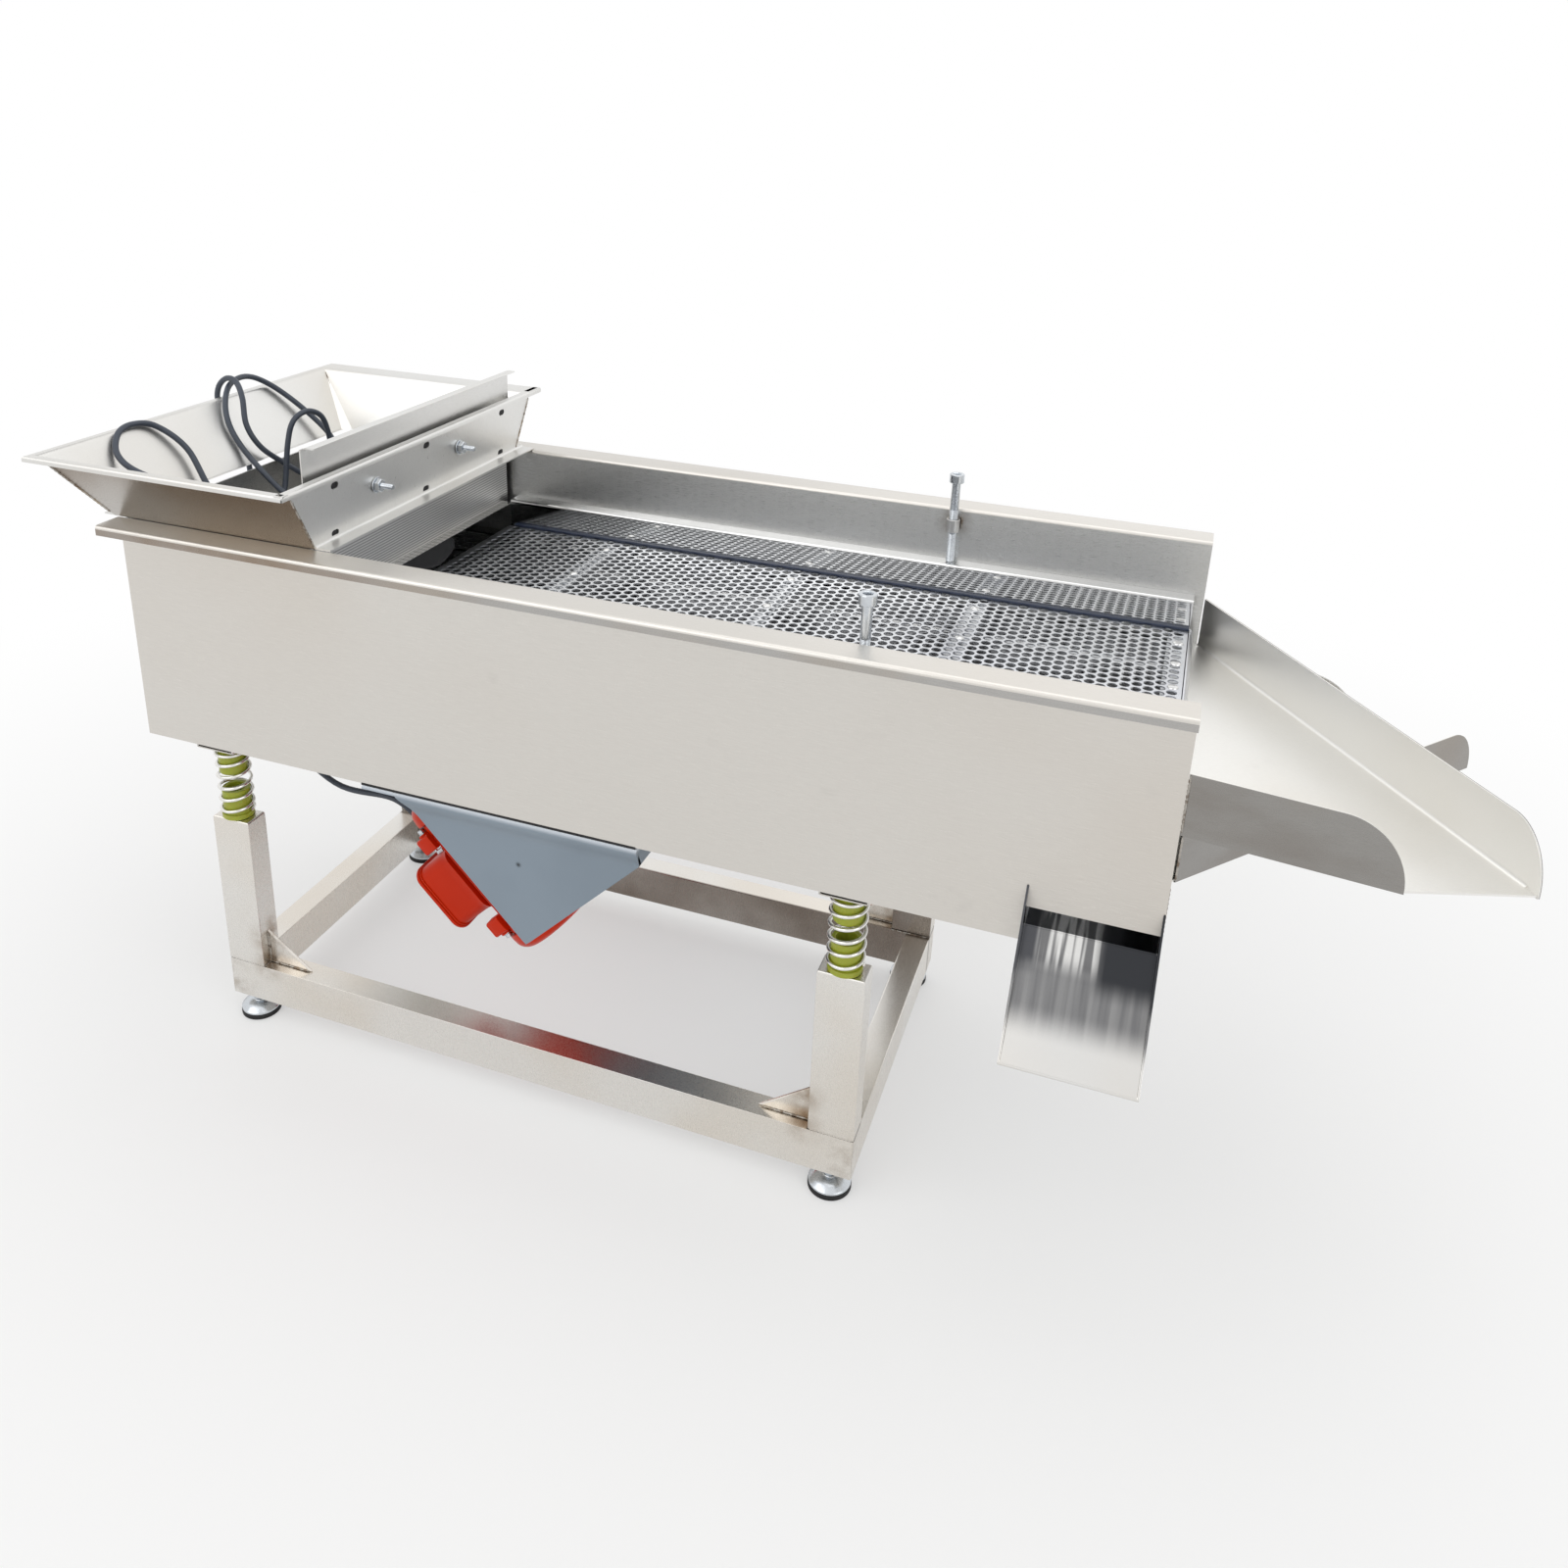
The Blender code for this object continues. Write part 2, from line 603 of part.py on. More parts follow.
def make_trough():
    for name, side in (("front_panel", -1), ("back_panel", 1)):
        out = HALF_TROUGH + FLANGE_REACH
        outline = [
            (side * HALF_TROUGH, PANEL_BOTTOM), (side * HALF_TROUGH, PANEL_TOP - SHEET),
            (side * (out - SHEET), PANEL_TOP - SHEET), (side * (out - SHEET), PANEL_TOP - LIP_HEIGHT),
            (side * out, PANEL_TOP - LIP_HEIGHT), (side * out, PANEL_TOP),
            (side * PANEL_INNER, PANEL_TOP), (side * PANEL_INNER, PANEL_BOTTOM),
        ]
        panel = add_object(name, prism(name, outline, "X", TROUGH_START, TROUGH_END, STEEL_PANEL))
        sleeve_top = PANEL_TOP - SLEEVE_DROP
        sleeve = turned("sleeve", [(SLEEVE_RADIUS, sleeve_top - SLEEVE_HEIGHT), (SLEEVE_RADIUS, sleeve_top)],
                        SMALL_SIDES, STEEL_PANEL)
        sleeve = add_object("sleeve", sleeve, (CLAMP_PLACE, side * CLAMP_LINE, 0))
        bridge = box("bridge", (-SLEEVE_RADIUS / 2, CLAMP_LINE, sleeve_top - SLEEVE_HEIGHT + GAP),
                     (SLEEVE_RADIUS / 2, PANEL_INNER + WELD_OVERLAP, sleeve_top - GAP), STEEL_PANEL)
        bridge = add_object("bridge", bridge, (CLAMP_PLACE, 0, 0), (0, 0, 0 if side > 0 else math.pi))
        bore = turned("bore", [(CLAMP_RADIUS + RUN_CLEARANCE, sleeve_top - SLEEVE_HEIGHT - CUT_OVERRUN),
                               (CLAMP_RADIUS + RUN_CLEARANCE, sleeve_top + CUT_OVERRUN)],
                      SMALL_SIDES, STEEL_PANEL)
        bore = add_object("bore", bore, (CLAMP_PLACE, side * CLAMP_LINE, 0))
        union(panel, [sleeve, bridge])
        tools = [bore]
        if side < 0:
            slot = box("slot", (TROUGH_START + FINES_START, -HALF_TROUGH - CUT_OVERRUN, PANEL_BOTTOM - CUT_OVERRUN),
                       (TROUGH_END + CUT_OVERRUN, -PANEL_INNER + CUT_OVERRUN, FLOOR_TOP + FINES_SLOT), STEEL_PANEL)
            tools.append(add_object("slot", slot))
        cut(panel, tools)

    left_top = PANEL_TOP - LEFT_WALL_DROP
    right_top = FLOOR_TOP + RIGHT_WALL_HEIGHT
    pan = [(TROUGH_START, FLOOR_BOTTOM), (TROUGH_END, FLOOR_BOTTOM), (TROUGH_END, right_top),
           (TROUGH_END - SHEET, right_top), (TROUGH_END - SHEET, FLOOR_TOP), (TROUGH_START + SHEET, FLOOR_TOP),
           (TROUGH_START + SHEET, left_top), (TROUGH_START, left_top)]
    inner = PANEL_INNER - GAP
    add_object("floor_pan", prism("floor_pan", pan, "Y", -inner, inner, STEEL_PANEL))

    for name, x in (("spring_beam_left", POST_LEFT), ("spring_beam_right", POST_RIGHT)):
        w = BEAM_WIDTH / 2
        h = BEAM_HEIGHT
        t = TUBE_WALL
        outer = [(-w, 0), (w, 0), (w, h), (-w, h)]
        inside = [(-w + t, t), (w - t, t), (w - t, h - t), (-w + t, h - t)]
        rings = [[(px, y, pz) for px, pz in shape]
                 for shape, y in ((outer, -inner), (outer, inner), (inside, inner), (inside, -inner))]
        add_object(name, ring_mesh(name, rings, STEEL_PANEL, closed=True), (x, 0, BEAM_BOTTOM))


def hole_cutters(name, start, end, half, columns, rows, radius, top, mat):
    """Hexagonal holes in staggered rows between start and end."""
    meshes = []
    step_x = (end - start) / columns
    step_y = 2 * half / rows
    for c in range(columns):
        shift = step_y / 2 if c % 2 else 0
        for r in range(rows - (1 if c % 2 else 0)):
            x = start + step_x * (c + 0.5)
            y = -half + step_y * (r + 0.5) + shift
            rings = [circle(radius, z, 6, (x, y)) for z in (top - SHEET - CUT_OVERRUN, top + CUT_OVERRUN)]
            meshes.append(ring_mesh(name, rings, mat))
    return add_object(name, joined(name, meshes, mat))


def make_decks():
    inner = PANEL_INNER - GAP
    t = THIN_SHEET
    fold = DECK_TOP + DECK_SIDE_RISE
    half = DECK_SIDE
    sides = [(-half, DECK_TOP - t), (half, DECK_TOP - t), (half, fold - t), (inner, fold - t), (inner, fold),
             (half - t, fold), (half - t, DECK_TOP), (-half + t, DECK_TOP), (-half + t, fold), (-inner, fold),
             (-inner, fold - t), (-half, fold - t)]
    deck = add_object("upper_deck", prism("upper_deck", sides, "X", DECK_SIDES_START, DECK_END, STEEL_DECK))
    feed_bottom = FEED_TOP - t
    tail = [(DECK_START, DECK_TOP - t), (DECK_SIDES_START + WELD_OVERLAP, DECK_TOP - t),
            (DECK_SIDES_START + WELD_OVERLAP, DECK_TOP), (DECK_START + t, DECK_TOP),
            (DECK_START + t, feed_bottom - GAP), (DECK_START, feed_bottom - GAP)]
    tail = add_object("tail", prism("tail", tail, "Y", -half, half, STEEL_DECK))
    nose = [(DECK_END - WELD_OVERLAP, DECK_TOP - t), (DECK_END, DECK_TOP - t),
            (DECK_END + DECK_LIP_RUN - t, DECK_TOP - DECK_LIP_DROP), (DECK_END + DECK_LIP_RUN, DECK_TOP - DECK_LIP_DROP),
            (DECK_END + t, DECK_TOP), (DECK_END - WELD_OVERLAP, DECK_TOP)]
    nose = add_object("nose", prism("nose", nose, "Y", -half, half, STEEL_DECK))
    union(deck, [tail, nose])
    holes = hole_cutters("holes", HOLE_FIELD_START, DECK_END - SCREEN_MARGIN, half - SCREEN_MARGIN,
                         SCREEN_COLUMNS, SCREEN_ROWS, HOLE_RADIUS, DECK_TOP, STEEL_DECK)
    cut(deck, [holes])

    fold = LOWER_DECK_TOP + LOWER_SIDE_RISE
    top = LOWER_DECK_TOP
    sides = [(-half, top - t), (half, top - t), (half, fold - t), (inner, fold - t), (inner, fold),
             (half - t, fold), (half - t, top), (-half + t, top), (-half + t, fold), (-inner, fold),
             (-inner, fold - t), (-half, fold - t)]
    lower = add_object("lower_deck", prism("lower_deck", sides, "X", LOWER_DECK_START, DECK_END, STEEL_DECK))
    holes = hole_cutters("holes", LOWER_DECK_START + SCREEN_MARGIN, DECK_END - SCREEN_MARGIN, half - SCREEN_MARGIN,
                         LOWER_COLUMNS, LOWER_ROWS, LOWER_HOLE_RADIUS, top, STEEL_DECK)
    cut(lower, [holes])

    edge = half - THIN_SHEET - GAP
    for name, side in (("seal_front", -1), ("seal_back", 1)):
        low = min(side * edge, side * (edge - SEAL_WIDTH))
        add_object(name, box(name, (HOLE_FIELD_START, low, DECK_TOP + GAP),
                             (DECK_END - GAP, low + SEAL_WIDTH, DECK_TOP + GAP + SEAL_HEIGHT), SEAL))

    w = FEED_HALF_WIDTH
    rim = PANEL_TOP - FEED_TOP_CLEARANCE
    pan = [(-w, feed_bottom), (w, feed_bottom), (w, rim), (w - t, rim), (w - t, FEED_TOP),
           (-w + t, FEED_TOP), (-w + t, rim), (-w, rim)]
    feed = add_object("feed_pan", prism("feed_pan", pan, "X", FEED_START, FEED_END, STEEL_PANEL))
    tongue = box("tongue", (FEED_END - WELD_OVERLAP, -DECK_SIDE + t + GAP, feed_bottom),
                 (DECK_SIDES_START + SHEET, DECK_SIDE - t - GAP, FEED_TOP), STEEL_PANEL)
    union(feed, [add_object("tongue", tongue)])


def make_hopper():
    t = HOPPER_SHEET
    bottom = HOPPER_BOTTOM
    top = HOPPER_TOP
    wall_top = top - t / 2
    rim_y = HOPPER_WIDTH / 2

    def outline(left, right, front, back, z):
        return [(left, -front, z), (right, -front, z), (right, back, z), (left, back, z)]

    # Four leaning walls, then a flat rim with a turned-down lip. The rim ends halfway into its walls.
    right_wall = HOPPER_LENGTH - t / 3
    front_wall = rim_y - RIM_WIDTH
    back_wall = rim_y - BACK_RIM_WIDTH
    walls = [outline(OUTLET_START, OUTLET_END, OUTLET_FRONT, OUTLET_BACK, bottom),
             outline(RIM_WIDTH, right_wall, front_wall, back_wall, wall_top),
             outline(RIM_WIDTH + t, right_wall - t, front_wall - t, back_wall - t, wall_top),
             outline(OUTLET_START + t, OUTLET_END - t, OUTLET_FRONT - t, OUTLET_BACK - t, bottom)]
    hopper = add_object("hopper", ring_mesh("hopper", walls, STEEL_HOPPER, closed=True))
    lip = top - RIM_LIP
    rim = [outline(0, HOPPER_LENGTH, rim_y, rim_y, lip),
           outline(0, HOPPER_LENGTH, rim_y, rim_y, top),
           outline(RIM_WIDTH + t / 2, HOPPER_LENGTH - RIM_WIDTH, front_wall - t / 2, back_wall - t / 2, top),
           outline(RIM_WIDTH + t / 2, HOPPER_LENGTH - RIM_WIDTH, front_wall - t / 2, back_wall - t / 2, top - t),
           outline(t, HOPPER_LENGTH - t, rim_y - t, rim_y - t, top - t),
           outline(t, HOPPER_LENGTH - t, rim_y - t, rim_y - t, lip)]
    tools = [add_object("rim", ring_mesh("rim", rim, STEEL_HOPPER, closed=True))]
    foot_end = OUTLET_END + HOPPER_FOOT
    foot_start = OUTLET_START - LEFT_FOOT
    foot_back = OUTLET_BACK + BACK_FOOT
    for low, high in (((OUTLET_END - t / 2, -OUTLET_FRONT), (foot_end, foot_back)),
                      ((foot_start, -OUTLET_FRONT), (OUTLET_START + t / 2, foot_back)),
                      ((OUTLET_START, OUTLET_BACK - t / 2), (OUTLET_END, foot_back))):
        foot = box("foot", (*low, bottom), (*high, bottom + t), STEEL_HOPPER)
        tools.append(add_object("foot", foot))
    union(hopper, tools)

    drills = []
    turn = Matrix.Rotation(math.pi / 2, 4, "Y")
    for height in (top - UPPER_HOLE_DROP, bottom + LOWER_HOLE_RISE):
        for k in (-1, 0, 1):
            ring = circle(WALL_HOLE_LENGTH / 2, 0, 8)
            squeeze = WALL_HOLE_HEIGHT / WALL_HOLE_LENGTH
            low = OUTLET_END - t - CUT_OVERRUN
            high = HOPPER_LENGTH + CUT_OVERRUN
            rings = [[(x, py, pz * squeeze) for pz, py, _ in ring] for x in (low, high)]
            tool = ring_mesh("drill", rings, STEEL_HOPPER)
            drills.append(add_object("drill", tool, (0, WALL_HOLE_OFFSET + k * WALL_HOLE_PITCH, height)))
    stud_height = top - STUD_DROP
    for k in (-1, 1):
        tool = turn_mesh(turned("stud_drill", [(STUD_RADIUS + RUN_CLEARANCE, OUTLET_END - t - CUT_OVERRUN),
                                               (STUD_RADIUS + RUN_CLEARANCE, right_wall + CUT_OVERRUN)],
                                SMALL_SIDES, STEEL_HOPPER), turn)
        drills.append(add_object("stud_drill", tool, (0, STUD_OFFSET + k * STUD_PITCH / 2, stud_height)))
    cut(hopper, drills)

    share = (stud_height - bottom) / (wall_top - bottom)
    face = OUTLET_END + share * (right_wall - OUTLET_END)
    head = GATE_PLACE - THIN_SHEET - GAP
    lean = (right_wall - OUTLET_END) / (wall_top - bottom) * STUD_NUT_ACROSS
    seat = face + lean + GAP
    stud = turn_mesh(turned("gate_stud", [
        (STUD_HEAD_RADIUS, head - STUD_HEAD_HEIGHT), (STUD_HEAD_RADIUS, head), (STUD_RADIUS, head),
        (STUD_RADIUS, seat), (STUD_NUT_ACROSS, seat + GAP, "hex"), (STUD_NUT_ACROSS, seat + STUD_NUT_HEIGHT, "hex"),
        (STUD_RADIUS, seat + STUD_NUT_HEIGHT + GAP), (STUD_RADIUS, face + STUD_REACH)],
        SMALL_SIDES, ZINC), turn)
    for name, k in (("gate_stud_front", -1), ("gate_stud_back", 1)):
        add_object(name, stud, (0, STUD_OFFSET + k * STUD_PITCH / 2, stud_height))

    t = THIN_SHEET
    low = FEED_TOP + GATE_OPENING
    gate_top = HOPPER_TOP + GATE_RISE
    shoulder = bottom + GATE_SHOULDER_CLEARANCE
    w = GATE_HALF_WIDTH
    f = GATE_FOOT_HALF_WIDTH
    plate = [(-f, low), (f, low), (f, shoulder), (w, shoulder), (w, gate_top), (-w, gate_top), (-w, shoulder),
             (-f, shoulder)]
    gate = add_object("gate", prism("gate", plate, "X", GATE_PLACE - t, GATE_PLACE, STEEL_HOPPER))
    fold = box("fold", (GATE_PLACE - t, -w + GATE_NOTCH, gate_top - t), (GATE_PLACE + GATE_LIP, w, gate_top),
               STEEL_HOPPER)
    union(gate, [add_object("fold", fold)])
    slots = []
    reach = STUD_RADIUS + RUN_CLEARANCE
    for k in (-1, 1):
        y = STUD_OFFSET + k * STUD_PITCH / 2
        tool = box("slot", (GATE_PLACE - t - CUT_OVERRUN, y - reach, stud_height - reach - GATE_TRAVEL),
                   (GATE_PLACE + CUT_OVERRUN, y + reach, stud_height + reach), STEEL_HOPPER)
        slots.append(add_object("slot", tool))
    cut(gate, slots)


def make_clamps():
    tip = DECK_TOP + DECK_SIDE_RISE + GAP
    head = CLAMP_LENGTH - CLAMP_HEAD_HEIGHT
    screw = turned("clamp_screw", [
        (CLAMP_RADIUS, 0), (CLAMP_RADIUS, head), (CLAMP_HEAD_RADIUS, head),
        (CLAMP_HEAD_RADIUS, CLAMP_LENGTH), (CLAMP_SOCKET_RADIUS, CLAMP_LENGTH),
        (CLAMP_SOCKET_RADIUS, CLAMP_LENGTH - CLAMP_SOCKET_DEPTH)], SMALL_SIDES, ZINC)
    for name, side in (("clamp_screw_front", -1), ("clamp_screw_back", 1)):
        add_object(name, screw, (CLAMP_PLACE, side * CLAMP_LINE, tip))


def make_chute(name, side, drop, short_wall, long_wall):
    """Skewed chute. Its short wall stands on the side given, its long wall crosses to the tip."""
    t = SHEET
    start = TROUGH_END + GAP
    slope = CHUTE_FALL / CHUTE_TIP_LENGTH
    near = side * HALF_TROUGH
    tuck = side * (PANEL_INNER - GAP)
    top = PANEL_TOP - drop
    tip = Vector((start + CHUTE_TIP_LENGTH - GAP, side * (HALF_TROUGH - CHUTE_TIP_INSET), 0))
    corner = Vector((start, -near, 0))
    run = tip - corner
    length = run.length
    run.normalize()
    inward = Vector((-run.y, run.x, 0)) * side
    short_end = start + CHUTE_SHORT_LENGTH

    def floor_z(x):
        return top - slope * (x - start)

    def wall_z(x):
        return floor_z(x) - t - WELD_OVERLAP

    # The floor ends halfway into its walls, and the walls reach a little below it.
    seam = inward * t / 2
    floor_corner = corner + seam - run * (seam.x / run.x)
    floor_tip = tip + seam - run * t / 2
    outline = [(start - CHUTE_TUCK, tuck), (start, tuck), (start, near - side * t / 2),
               (short_end, near - side * t / 2), (floor_tip.x, floor_tip.y), (floor_corner.x, floor_corner.y),
               (start, -tuck), (start - CHUTE_TUCK, -tuck)]
    rings = [[(x, y, floor_z(x) - t) for x, y in outline], [(x, y, floor_z(x)) for x, y in outline]]
    chute = add_object(name, ring_mesh(name, rings, STEEL_CHUTE))

    straight = start + CHUTE_SHORT_STRAIGHT
    wall = [(start, wall_z(start)), (start, floor_z(start) + short_wall)]
    arc = 6
    for i in range(arc + 1):
        angle = math.pi / 2 * i / arc
        x = straight + (short_end - straight) * math.sin(angle)
        wall.append((x, wall_z(x) + (short_wall + t + WELD_OVERLAP) * math.cos(angle)))
    low, high = sorted((near, near - side * t))
    short = add_object("short", prism("short", wall, "Y", low, high, STEEL_CHUTE))

    relief = 2 * t
    outline = [(relief, wall_z(start)), (relief, floor_z(start) + long_wall)]
    nose = length - CHUTE_NOSE_LENGTH
    for i in range(arc + 1):
        angle = math.pi / 2 * i / arc
        along = nose + CHUTE_NOSE_LENGTH * math.sin(angle)
        x = start + (tip.x - start) * along / length
        outline.append((along, wall_z(x) + (long_wall + t + WELD_OVERLAP) * math.cos(angle)))
    rings = []
    for depth in (0, t):
        rings.append([tuple(corner + run * along + inward * depth + Vector((0, 0, z))) for along, z in outline])
    long_side = add_object("long_side", ring_mesh("long_side", rings, STEEL_CHUTE))
    union(chute, [short, long_side])
    return chute


def make_fines_chute():
    t = SHEET
    start = TROUGH_START + FINES_START
    end = TROUGH_END
    near = -HALF_TROUGH - GAP
    lip = -FINES_REACH
    top = FLOOR_TOP
    low = top - FINES_DROP
    floor = [(near, top), (lip, low), (lip, low - t), (near, top - t)]
    chute = add_object("fines_chute", prism("fines_chute", floor, "X", start, end, STEEL_CHUTE))
    cheek = [(near, top - t), (near, top + FINES_WALL_RISE), (lip, low), (lip, low - t)]
    tools = [add_object("cheek", prism("cheek", cheek, "X", start, start + t, STEEL_CHUTE)),
             add_object("cheek", prism("cheek", cheek, "X", end - t, end, STEEL_CHUTE))]
    union(chute, tools)


def make_bracket():
    w = BRACKET_HALF_WIDTH
    t = BRACKET_PLATE
    low = BRACKET_TOP - BRACKET_TOP_THICKNESS
    half = HALF_TROUGH - GAP
    bracket = add_object("motor_bracket", box("motor_bracket", (BRACKET_START, -half, low),
                                              (BRACKET_END, half, BRACKET_TOP), BRACKET_PAINT))
    right = BRACKET_END - WELD_OVERLAP
    inside = low + WELD_OVERLAP
    side = [(BRACKET_LEFT, inside), (BRACKET_POINT, low - BRACKET_DEPTH), (right, low - BRACKET_RIGHT_DEPTH),
            (right, inside)]
    plates = [add_object("plate", prism("plate", side, "Y", -w, -w + t, BRACKET_PAINT)),
              add_object("plate", prism("plate", side, "Y", w - t, w, BRACKET_PAINT))]
    union(bracket, plates)

    tilt = math.radians(MOTOR_TILT_DEG)
    plate = box("motor_mount_plate", (-MOUNT_PLATE_START, -w + t + GAP, FOOT_PLANE + GAP),
                (MOUNT_PLATE_END, w - t - GAP, FOOT_PLANE + GAP + MOUNT_PLATE), BRACKET_PAINT)
    add_object("motor_mount_plate", plate, (MOTOR_PLACE, 0, MOTOR_AXIS_HEIGHT), (0, tilt, 0))


def make_motors():
    """Each motor in its own axes: X along the shaft, Z towards the mounting plate."""
    tilt = math.radians(MOTOR_TILT_DEG)
    turn = Matrix.Rotation(math.pi / 2, 4, "Y")
    half = HOUSING_LENGTH / 2
    bore = SHAFT_RADIUS + RUN_CLEARANCE
    s0 = SHIELD_PLACE - SHIELD_THICKNESS / 2
    s1 = SHIELD_PLACE + SHIELD_THICKNESS / 2
    cover_open = COVER_RADIUS - COVER_WALL
    # A domed plate closes the ring: the outer and inner skins each end in a flat disc.
    profile = [(cover_open * wide, (COVER_DEPTH - COVER_WALL) * deep) for wide, deep in COVER_INNER_SHARES]
    profile += [(COVER_RADIUS * wide, COVER_DEPTH * deep) for wide, deep in COVER_OUTER_SHARES]
    cover = turned("cover", profile, ROUND_SIDES, MOTOR_PAINT)

    for label, side in (("front", -1), ("back", 1)):
        place = (MOTOR_PLACE, side * MOTOR_SPREAD, MOTOR_AXIS_HEIGHT)

        def put(name, mesh, turned_by=(0, tilt, 0)):
            return add_object(name, mesh, place, turned_by)

        body = put("motor_" + label, turn_mesh(turned("motor", [(HOUSING_RADIUS, -half), (HOUSING_RADIUS, half)],
                                                      ROUND_SIDES, MOTOR_PAINT), turn))
        foot = box("foot", (-FOOT_LENGTH / 2, -FOOT_WIDTH / 2, FOOT_PLANE - FOOT_THICKNESS),
                   (FOOT_LENGTH / 2, FOOT_WIDTH / 2, FOOT_PLANE), MOTOR_PAINT)
        web = box("web", (-FOOT_LENGTH / 2 + SHEET, -FOOT_WEB_WIDTH / 2, FOOT_PLANE - 2 * FOOT_THICKNESS),
                  (FOOT_LENGTH / 2 - SHEET, FOOT_WEB_WIDTH / 2, FOOT_PLANE - FOOT_THICKNESS / 2), MOTOR_PAINT)
        case_x = BOX_LENGTH / 2 - LID_OVERHANG
        case_y = BOX_WIDTH / 2 - LID_OVERHANG
        case = box("case", (-case_x, -case_y, -BOX_REACH - WELD_OVERLAP), (case_x, case_y, -BOX_ROOT), MOTOR_PAINT)
        lid = box("lid", (-BOX_LENGTH / 2, -BOX_WIDTH / 2, -LID_REACH), (BOX_LENGTH / 2, BOX_WIDTH / 2, -BOX_REACH),
                  MOTOR_PAINT)
        tools = [put("foot", foot), put("web", web), put("case", case), put("lid", lid)]
        for end in (-1, 1):
            for edge in (-1, 1):
                low = (end * EAR_PLACE - EAR_LENGTH / 2, edge * EAR_SPREAD - EAR_WIDTH / 2, -EAR_DEPTH)
                high = (end * EAR_PLACE + EAR_LENGTH / 2, edge * EAR_SPREAD + EAR_WIDTH / 2, -EAR_DEPTH / 3)
                tools.append(put("ear", box("ear", low, high, MOTOR_PAINT)))
        gland = turned("gland", [(GLAND_RADIUS, case_x - WELD_OVERLAP),
                                 (GLAND_RADIUS, BOX_LENGTH / 2 + GLAND_LENGTH)], SMALL_SIDES, MOTOR_PAINT)
        gland.transform(Matrix.Translation((0, 0, -GLAND_DEPTH)) @ Matrix.Rotation(-math.pi / 2, 4, "Y"))
        tools.append(put("gland", gland))
        union(body, tools)
        hollow = turn_mesh(turned("hollow", [
            (HOUSING_BORE, -half - CUT_OVERRUN), (HOUSING_BORE, -s1), (bore, -s1), (bore, -s0), (HOUSING_BORE, -s0),
            (HOUSING_BORE, s0), (bore, s0), (bore, s1), (HOUSING_BORE, s1), (HOUSING_BORE, half + CUT_OVERRUN)],
            ROUND_SIDES, MOTOR_PAINT), turn)
        cut(body, [put("hollow", hollow)])

        for end, name in ((-1, "motor_cover_top_"), (1, "motor_cover_low_")):
            mesh = cover.copy()
            mesh.transform(Matrix.Rotation(end * math.pi / 2, 4, "Y") @ Matrix.Translation((0, 0, half + GAP)))
            put(name + label, mesh)

        shaft_half = SHAFT_LENGTH / 2
        core_half = CORE_LENGTH / 2
        rotor = put("rotor_" + label, turn_mesh(turned("rotor", [
            (SHAFT_RADIUS, -shaft_half), (SHAFT_RADIUS, -core_half), (CORE_RADIUS, -core_half),
            (CORE_RADIUS, core_half), (SHAFT_RADIUS, core_half), (SHAFT_RADIUS, shaft_half)],
            ROUND_SIDES, ROTOR_STEEL), turn))
        weights = []
        for end in (-1, 1):
            arc = 10
            outline = [(WEIGHT_RADIUS * math.cos(math.pi * i / arc), -WEIGHT_RADIUS * math.sin(math.pi * i / arc))
                       for i in range(arc + 1)]
            outline += [(-WEIGHT_RADIUS, SHAFT_RADIUS / 2), (WEIGHT_RADIUS, SHAFT_RADIUS / 2)]
            low, high = sorted((end * WEIGHT_START, end * (WEIGHT_START + WEIGHT_THICKNESS)))
            weights.append(put("weight", prism("weight", outline, "X", low, high, ROTOR_STEEL)))
        union(rotor, weights)


def make_cords():
    tilt = math.radians(MOTOR_TILT_DEG)
    along = Vector((math.cos(tilt), 0, -math.sin(tilt)))
    normal = Vector((math.sin(tilt), 0, math.cos(tilt)))
    mouths = {}
    for label, side in (("front", -1), ("back", 1)):
        centre = Vector((MOTOR_PLACE, side * MOTOR_SPREAD, MOTOR_AXIS_HEIGHT))
        mouths[label] = centre - along * (BOX_LENGTH / 2 + GLAND_LENGTH + GAP) - normal * GLAND_DEPTH
    start = mouths["front"]
    route = [tuple(start), tuple(start - along * 0.020)] + POWER_ROUTE
    cord("power_cord", route, CORD_POINTS, CORD_RUBBER)

    end = Vector(POWER_ROUTE[-1])
    way = (end - Vector(POWER_ROUTE[-2])).normalized()
    plug = turned("power_plug", [
        (PLUG_NECK_RADIUS, 0), (PLUG_NECK_RADIUS, PLUG_BODY_LENGTH / 4), (PLUG_BODY_RADIUS, PLUG_BODY_LENGTH / 2),
        (PLUG_BODY_RADIUS, PLUG_BODY_LENGTH), (PLUG_PIN_RADIUS, PLUG_BODY_LENGTH),
        (PLUG_PIN_RADIUS, PLUG_BODY_LENGTH + PLUG_PIN_LENGTH)], SMALL_SIDES, CORD_RUBBER)
    made = add_object("power_plug", plug, end + way * GAP)
    made.rotation_euler = way.to_track_quat("Z", "Y").to_euler()


